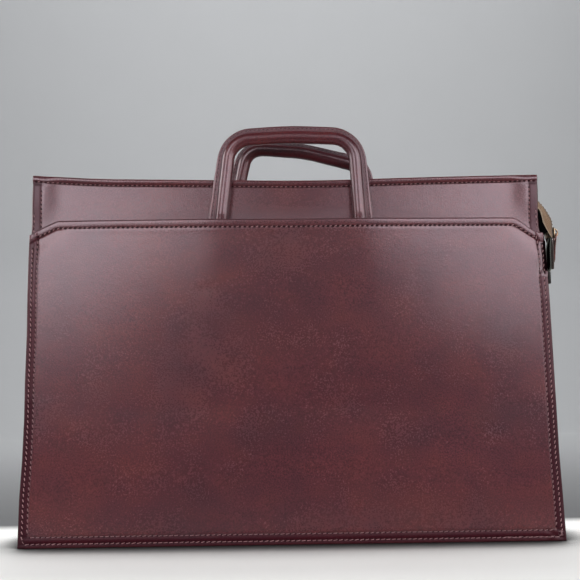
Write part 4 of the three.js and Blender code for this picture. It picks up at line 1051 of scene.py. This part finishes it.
def build_chain():
    centre = [(x, 0.0, chain_z(x)) for x in np.linspace(-194, 160, 60)] + [(r[0], 0.0, r[1]) for r in TAIL]
    C = np.concatenate([np.array(centre[:60]), catmull(np.array(centre[59:]), 6)[1:]])
    C, s = resample(C, 1.32)
    V, F = [], []
    T = np.gradient(C, axis=0)
    T /= np.linalg.norm(T, axis=1, keepdims=True)
    a = np.array([0.0, 1.0, 0.0])
    for i in range(len(C)):
        if C[i][2] < 243.5 and C[i][0] > 210:
            continue
        sgn = 1 if i % 2 else -1
        b = np.cross(T[i], a)
        vs, fs = tooth(C[i] - a * sgn * 0.55, T[i], a * sgn * -1, b, 1.75, 1.05, 0.56)
        F += [tuple(k + len(V) for k in f) for f in fs]
        V += vs
    closed = len(V), len(F)
    # the two open rows below the slider
    front = np.array([(x, -y, z) for x, y, z in ROW])
    u = np.concatenate([front, np.array([(x, y, z) for x, y, z in ROW[:-1]])[::-1]])
    U, _ = resample(catmull(u, 6), 1.25)
    TU = np.gradient(U, axis=0)
    TU /= np.linalg.norm(TU, axis=1, keepdims=True)
    for i in range(1, len(U) - 1):
        if U[i][2] > 242.0:
            continue
        across_u = np.cross(TU[i], np.array([1.0, 0.0, 0.0]))
        across_u /= np.linalg.norm(across_u)
        vs, fs = tooth(U[i], TU[i], across_u, np.array([1.0, 0.0, 0.0]), 0.80, 0.62, 0.40)
        F += [tuple(k + len(V) for k in f) for f in fs]
        V += vs
    # cords that the teeth are set on
    def cord_on(path, r, V, F):
        Tp = np.gradient(path, axis=0)
        Tp /= np.linalg.norm(Tp, axis=1, keepdims=True)
        base = len(V)
        for i in range(len(path)):
            n1 = np.cross(Tp[i], np.array([0.0, 1.0, 0.0]) if abs(Tp[i][1]) < 0.8 else np.array([0.0, 0.0, 1.0]))
            n1 /= np.linalg.norm(n1)
            n2 = np.cross(Tp[i], n1)
            for j in range(8):
                th = 2 * math.pi * j / 8
                V.append(path[i] + n1 * r * math.cos(th) + n2 * r * math.sin(th))
        F += tube_faces(len(path), 8, True, base)

    V1, F1 = V[:closed[0]], F[:closed[1]]
    V2, F2 = V[closed[0]:], [tuple(k - closed[0] for k in f) for f in F[closed[1]:]]
    shut = C[(C[:, 2] > 243.5) | (C[:, 0] < 210)]
    cord_on(shut + np.array([0, 2.0, 0]), 0.42, V1, F1)
    cord_on(shut - np.array([0, 2.0, 0]), 0.42, V1, F1)
    cord_on(U, 0.60, V2, F2)
    put("zip_teeth", V1, F1, TEETH, nodes=["zip_chain"], smooth=False, flip_fix=False)
    V2 = np.array(V2)
    put("zip_teeth_open", V2, F2, ROW_TEETH, flip_fix=False, uv=V2[:, 1:3], attrs={"edge": np.zeros(len(V2)), "painted_shade": np.zeros(len(V2))})


def outline_plate(outline, lo, hi, bevel):
    """A plate from an outline in (y, z), between x = lo and hi, with softened rims."""
    o = np.array(outline, float)
    c = o.mean(0)
    rings = []
    for x, k in ((lo, bevel), (lo + bevel * 0.4, bevel * 0.3), (lo + bevel, 0.0), (hi - bevel, 0.0), (hi - bevel * 0.4, bevel * 0.3), (hi, bevel)):
        d = o - c
        L = np.linalg.norm(d, axis=1, keepdims=True)
        p = c + d * (1 - k / np.maximum(L, 0.1))
        rings.append(np.concatenate([np.full((len(o), 1), x), p], 1))
    V = np.concatenate(rings)
    return V, tube_faces(len(rings), len(o))


def build_slider():
    S = SLIDER
    lo, hi, h = S["low"], S["high"], S["half"]
    shield = []
    for k in range(28):
        a = 2 * math.pi * k / 28
        y, z = math.cos(a), math.sin(a)
        wide = h * (1.0 if z < 0 else 1.0 - 0.12 * z)
        yy = math.copysign(abs(y) ** 0.55, y) * wide
        zz = (lo + hi) / 2 + math.copysign(abs(z) ** 0.55, z) * (hi - lo) / 2
        shield.append((yy, zz))
    V, F = [], []

    def add(v, f):
        nonlocal V, F
        F += [tuple(i + len(V) for i in q) for q in f]
        V += [tuple(p) for p in v]

    add(*outline_plate(shield, S["inner"] - S["plate"], S["inner"], 0.28))
    add(*outline_plate(shield, S["outer"], S["outer"] + S["plate"], 0.28))
    post = [(0.5 * math.cos(a), 237.6 + 1.0 * math.sin(a)) for a in np.linspace(0, 2 * math.pi, 12, endpoint=False)]
    add(*outline_plate(post, S["inner"] - 0.2, S["outer"] + 0.2, 0.1))
    # bridge
    face, mid = S["outer"] + S["plate"], 240.8
    rings = []
    for k in range(17):
        a = -math.pi / 2 + math.pi * k / 16
        cx, cz = face - 0.15 + 3.4 * math.cos(a), mid + 3.5 * math.sin(a)
        rad = np.array([math.cos(a), 0, math.sin(a)])
        wide = 1.0 - 0.18 * math.cos(a)
        rings.append([np.array([cx, 0, cz]) + rad * (0.60 * math.cos(t)) + np.array([0, 1, 0]) * (wide * math.sin(t)) for t in np.linspace(0, 2 * math.pi, 10, endpoint=False)])
    add(np.concatenate([np.array(r) for r in rings]), tube_faces(17, 10))
    put("zip_slider_body", V, F, BRASS, nodes=["zip_slider"], flip_fix=True)


def build_pull():
    P = PULL
    lean = math.radians(P["lean"])
    hingep = np.array([P["x"], 0.0, P["z"]])
    down = np.array([-math.sin(lean), 0.0, -math.cos(lean)])
    out = np.array([math.cos(lean), 0.0, -math.sin(lean)])
    Y = np.array([0.0, 1.0, 0.0])
    V, F = [], []

    def add(rings):
        nonlocal V, F
        F += tube_faces(len(rings), len(rings[0]), True, len(V))
        for r in rings:
            V += r

    def ring(s, y0, y1, t, m=12):
        """A rounded rectangle across the pull at distance s down it."""
        c, h = (y0 + y1) / 2, (y1 - y0) / 2
        res = []
        for k in range(m):
            a = 2 * math.pi * (k + 0.5) / m
            u = math.copysign(min(1.0, abs(math.cos(a)) ** 0.4), math.cos(a)) * h
            w = math.copysign(abs(math.sin(a)) ** 0.5, math.sin(a)) * t
            res.append(hingep + down * s + Y * (c + u) + out * w)
        return res

    th = P["thick"] / 2
    # cross bar in the bridge
    bar_r = []
    for y in np.linspace(-2.9, 2.9, 9):
        bar_r.append([hingep + Y * y + down * (0.48 * math.cos(a)) + out * (0.48 * math.sin(a)) for a in np.linspace(0, 2 * math.pi, 10, endpoint=False)])
    add(bar_r)
    for sgn in (-1, 1):
        add([ring(s, *(sorted((sgn * a, sgn * b))), t) for s, a, b, t in ((-0.45, 1.9, 2.7, th * 0.6), (0.0, 1.62, 3.0, th), (2.5, 1.6, 3.08, th), (4.6, 1.55, 3.08, th), (5.6, 1.2, 3.0, th))])
    widths = [(5.0, 2.6), (5.3, 2.95), (6.2, 2.85), (8, 2.3), (10, 2.15), (12, 2.2), (16, 2.45), (20, 2.7), (22, 2.78), (23.2, 2.45), (23.8, 1.8), (24.0, 1.0)]
    add([ring(s, -w, w, th * (0.55 if s in (5.0, 24.0) else (0.85 if s == 23.8 else 1.0)), 16) for s, w in widths])
    # raised rim and sunk field on the face
    for face in (-1, 1):
        add([[hingep + down * s + Y * (sg * (w - 0.35)) + out * (face * (th + 0.02)) + o for o in (Y * 0.14, out * face * 0.16, -Y * 0.14, -out * face * 0.05)] for s, w, sg in [(q[0], q[1], 1) for q in widths[2:9]] + [(q[0], q[1], -1) for q in widths[2:9][::-1]]])
    put("zip_pull_tag", V, F, PULL_METAL, nodes=["zip_pull"], body="pull")


def build_tab():
    V, F = [], []
    rows = []
    for z, k in ((198.8, 0.5), (199.0, 0.8), (199.6, 1.0), (203.0, 0.96), (206.0, 1.0), (207.8, 1.0), (208.2, 0.85), (208.35, 0.6)):
        r = []
        for a in np.linspace(0, 2 * math.pi, 20, endpoint=False):
            y = math.copysign(abs(math.cos(a)) ** 0.5, math.cos(a)) * 2.2 * k
            x = 213.3 + math.copysign(abs(math.sin(a)) ** 0.6, math.sin(a)) * 1.0 * min(1.0, k + 0.1)
            r.append((x, y, z))
        rows.append(r)
    V = np.array(rows).reshape(-1, 3)
    uv = np.stack([V[:, 1], V[:, 2]], -1)
    put("zip_end_cloth", V, tube_faces(len(rows), 20), TAB_CLOTH, nodes=["zip_end_tab"], uv=uv, attrs={"edge": np.zeros(len(V)), "painted_shade": np.zeros(len(V))})


build_panel("front_panel", -1, HIDE_PANEL, 1.0)
build_panel("back_panel", 1, HIDE_PANEL, 2.0)
build_pocket("front_pocket", -1, FRONT_HANDLE, HIDE_FRONT, 3.0)
build_pocket("back_pocket", 1, REAR_HANDLE, HIDE_FRONT, 4.0)
build_gusset()
build_handle("handle_front", -1, FRONT_HANDLE, 1.0)
build_handle("handle_rear", 1, REAR_HANDLE, 2.0)
build_tape("zip_tape_front", -1, TAPE_TAN)
build_tape("zip_tape_back", 1, TAPE_TAN)
build_chain()
build_slider()
build_pull()
build_tab()


# ------------------------------------------------------------------ stage and light
def stage_mat(name, col, rough=0.85, front=None, low=None):
    mat = bpy.data.materials.new(name)
    nt, b = nodes_of(mat)
    c = ramp(nt, noise(nt, 6.0, 3), [(0.3, tuple(0.985 * v for v in col)), (0.7, col)])
    if front:
        # the pale top ends some way in front of the bag, as a table's does
        tc = nt.nodes.new("ShaderNodeTexCoord")
        sp = nt.nodes.new("ShaderNodeSeparateXYZ")
        nt.links.new(tc.outputs["Object"], sp.inputs["Vector"])
        far = math_node(nt, "MULTIPLY_ADD", sp.outputs["Y"], -7.0, -1.0, clamp=True)
        c = mixc(nt, c, front, far)
        # and behind it the top gives way to the same grey as the wall's
        back = math_node(nt, "MULTIPLY_ADD", sp.outputs["Y"], 40.0, -2.2, clamp=True)
        deep = math_node(nt, "MULTIPLY_ADD", sp.outputs["Y"], 0.85, -0.10, clamp=True)
        c = mixc(nt, c, mixc(nt, (0.125, 0.127, 0.130), (0.36, 0.366, 0.375), deep), back)
    if low:
        tc = nt.nodes.new("ShaderNodeTexCoord")
        sp = nt.nodes.new("ShaderNodeSeparateXYZ")
        nt.links.new(tc.outputs["Object"], sp.inputs["Vector"])
        c = mixc(nt, low, c, math_node(nt, "MULTIPLY_ADD", sp.outputs["Z"], 2.6, 0.0, clamp=True))
    if front:
        # painted contact shadow: the floor darkens where the bag stands, as far as the ambient occlusion reaches
        ao = nt.nodes.new("ShaderNodeAmbientOcclusion")
        ao.samples = 12
        ao.inputs["Distance"].default_value = 0.036
        near = math_node(nt, "MULTIPLY_ADD", ao.outputs["AO"], 2.38, -1.19, clamp=True)
        c = mixc(nt, (0.012, 0.010, 0.010), c, math_node(nt, "POWER", near, 1.8))
    nt.links.new(c, b.inputs["Base Color"])
    b.inputs["Roughness"].default_value = rough
    b.inputs["Specular IOR Level"].default_value = 0.2
    return mat


def build_stage():
    """A pale floor that sweeps up into a grey wall behind the bag."""
    prof = [(-2.2, 0.0), (1.25, 0.0)]
    for k in range(1, 19):
        a = math.pi / 2 * k / 18
        prof.append((1.25 + 0.55 * math.sin(a), 0.55 - 0.55 * math.cos(a)))
    prof += [(1.80, 3.0)]
    verts, faces = [], []
    for y, z in prof:
        verts += [(-2.6, y, z - 0.0002), (2.6, y, z - 0.0002)]
    for i in range(len(prof) - 1):
        faces.append((2 * i, 2 * i + 1, 2 * i + 3, 2 * i + 2))
    me = bpy.data.meshes.new("floor_sweep")
    me.from_pydata(verts, [], faces)
    me.update()
    for p in me.polygons:
        p.use_smooth = True
    me.materials.append(stage_mat("stage_floor", (0.83, 0.83, 0.816), front=(0.12, 0.12, 0.12)))
    me.materials.append(stage_mat("stage_wall", (0.46, 0.468, 0.48), low=(0.36, 0.366, 0.375)))
    for i, p in enumerate(me.polygons):
        p.material_index = 0 if i < 1 else 1
    ob = bpy.data.objects.new("floor_sweep", me)
    SCENE.collection.objects.link(ob)


def area(name, at, target, size_x, size_y, power, col=(1, 1, 1), diffuse=True, gloss=True):
    d = bpy.data.lights.new(name, "AREA")
    d.shape, d.size, d.size_y, d.energy, d.color = "RECTANGLE", size_x, size_y, power, col
    ob = bpy.data.objects.new(name, d)
    ob.visible_diffuse, ob.visible_glossy = diffuse, gloss
    ob.location = at
    ob.rotation_euler = (Vector(target) - Vector(at)).to_track_quat("-Z", "Y").to_euler()
    SCENE.collection.objects.link(ob)


def build_light():
    w = bpy.data.worlds.new("studio")
    w.use_nodes = True
    bg = w.node_tree.nodes["Background"]
    bg.inputs["Color"].default_value = (0.90, 0.95, 1.0, 1)
    bg.inputs["Strength"].default_value = 0.07
    SCENE.world = w
    # vertical softboxes either side of the camera: the flat middle of the bag mirrors the dark gap between them
    area("box_left", (-0.80, -1.50, 0.98), (-0.80, 0.0, 0.98), 1.06, 1.10, 27, (0.98, 0.98, 1.0), diffuse=False)
    area("box_left_outer", (-1.00, -1.49, 0.98), (-1.00, 0.0, 0.98), 0.70, 1.10, 5, (0.98, 0.98, 1.0), diffuse=False)
    area("box_right", (0.86, -1.50, 1.00), (0.86, 0.0, 1.00), 1.00, 1.06, 29, (0.97, 0.97, 1.0), diffuse=False)
    # boxes far out at the sides give the round handles their two long highlights
    area("side_left", (-1.70, 0.10, 0.75), (0.0, 0.0, 0.25), 1.3, 1.2, 34, diffuse=False)
    area("side_right", (1.50, -0.75, 0.75), (0.0, 0.0, 0.25), 1.2, 1.2, 26, diffuse=False)
    # low broad fills, and the key from above and a little behind, so that the shadow falls forward
    area("fill_front", (0.0, -1.9, 0.32), (0.0, 0.0, 0.12), 1.9, 0.5, 25, gloss=False)
    area("fill_left", (-1.6, 0.0, 0.28), (0.0, 0.0, 0.15), 0.9, 0.4, 7, gloss=False)
    area("fill_right", (1.6, -0.1, 0.28), (0.0, 0.0, 0.15), 0.9, 0.4, 7, gloss=False)
    area("key_top", (0.0, 0.15, 1.75), (0.0, -0.05, 0.0), 1.6, 0.25, 20, gloss=False)
    area("back_soft", (0.0, 1.15, 1.10), (0.0, 0.0, 0.16), 1.3, 0.7, 10, gloss=False)
    area("wall_wash", (0.0, 0.75, 2.3), (0.0, 1.80, 1.15), 2.6, 0.4, 28, gloss=False)


build_stage()
build_light()

SCENE.view_settings.view_transform = "Standard"
SCENE.view_settings.look = "None"
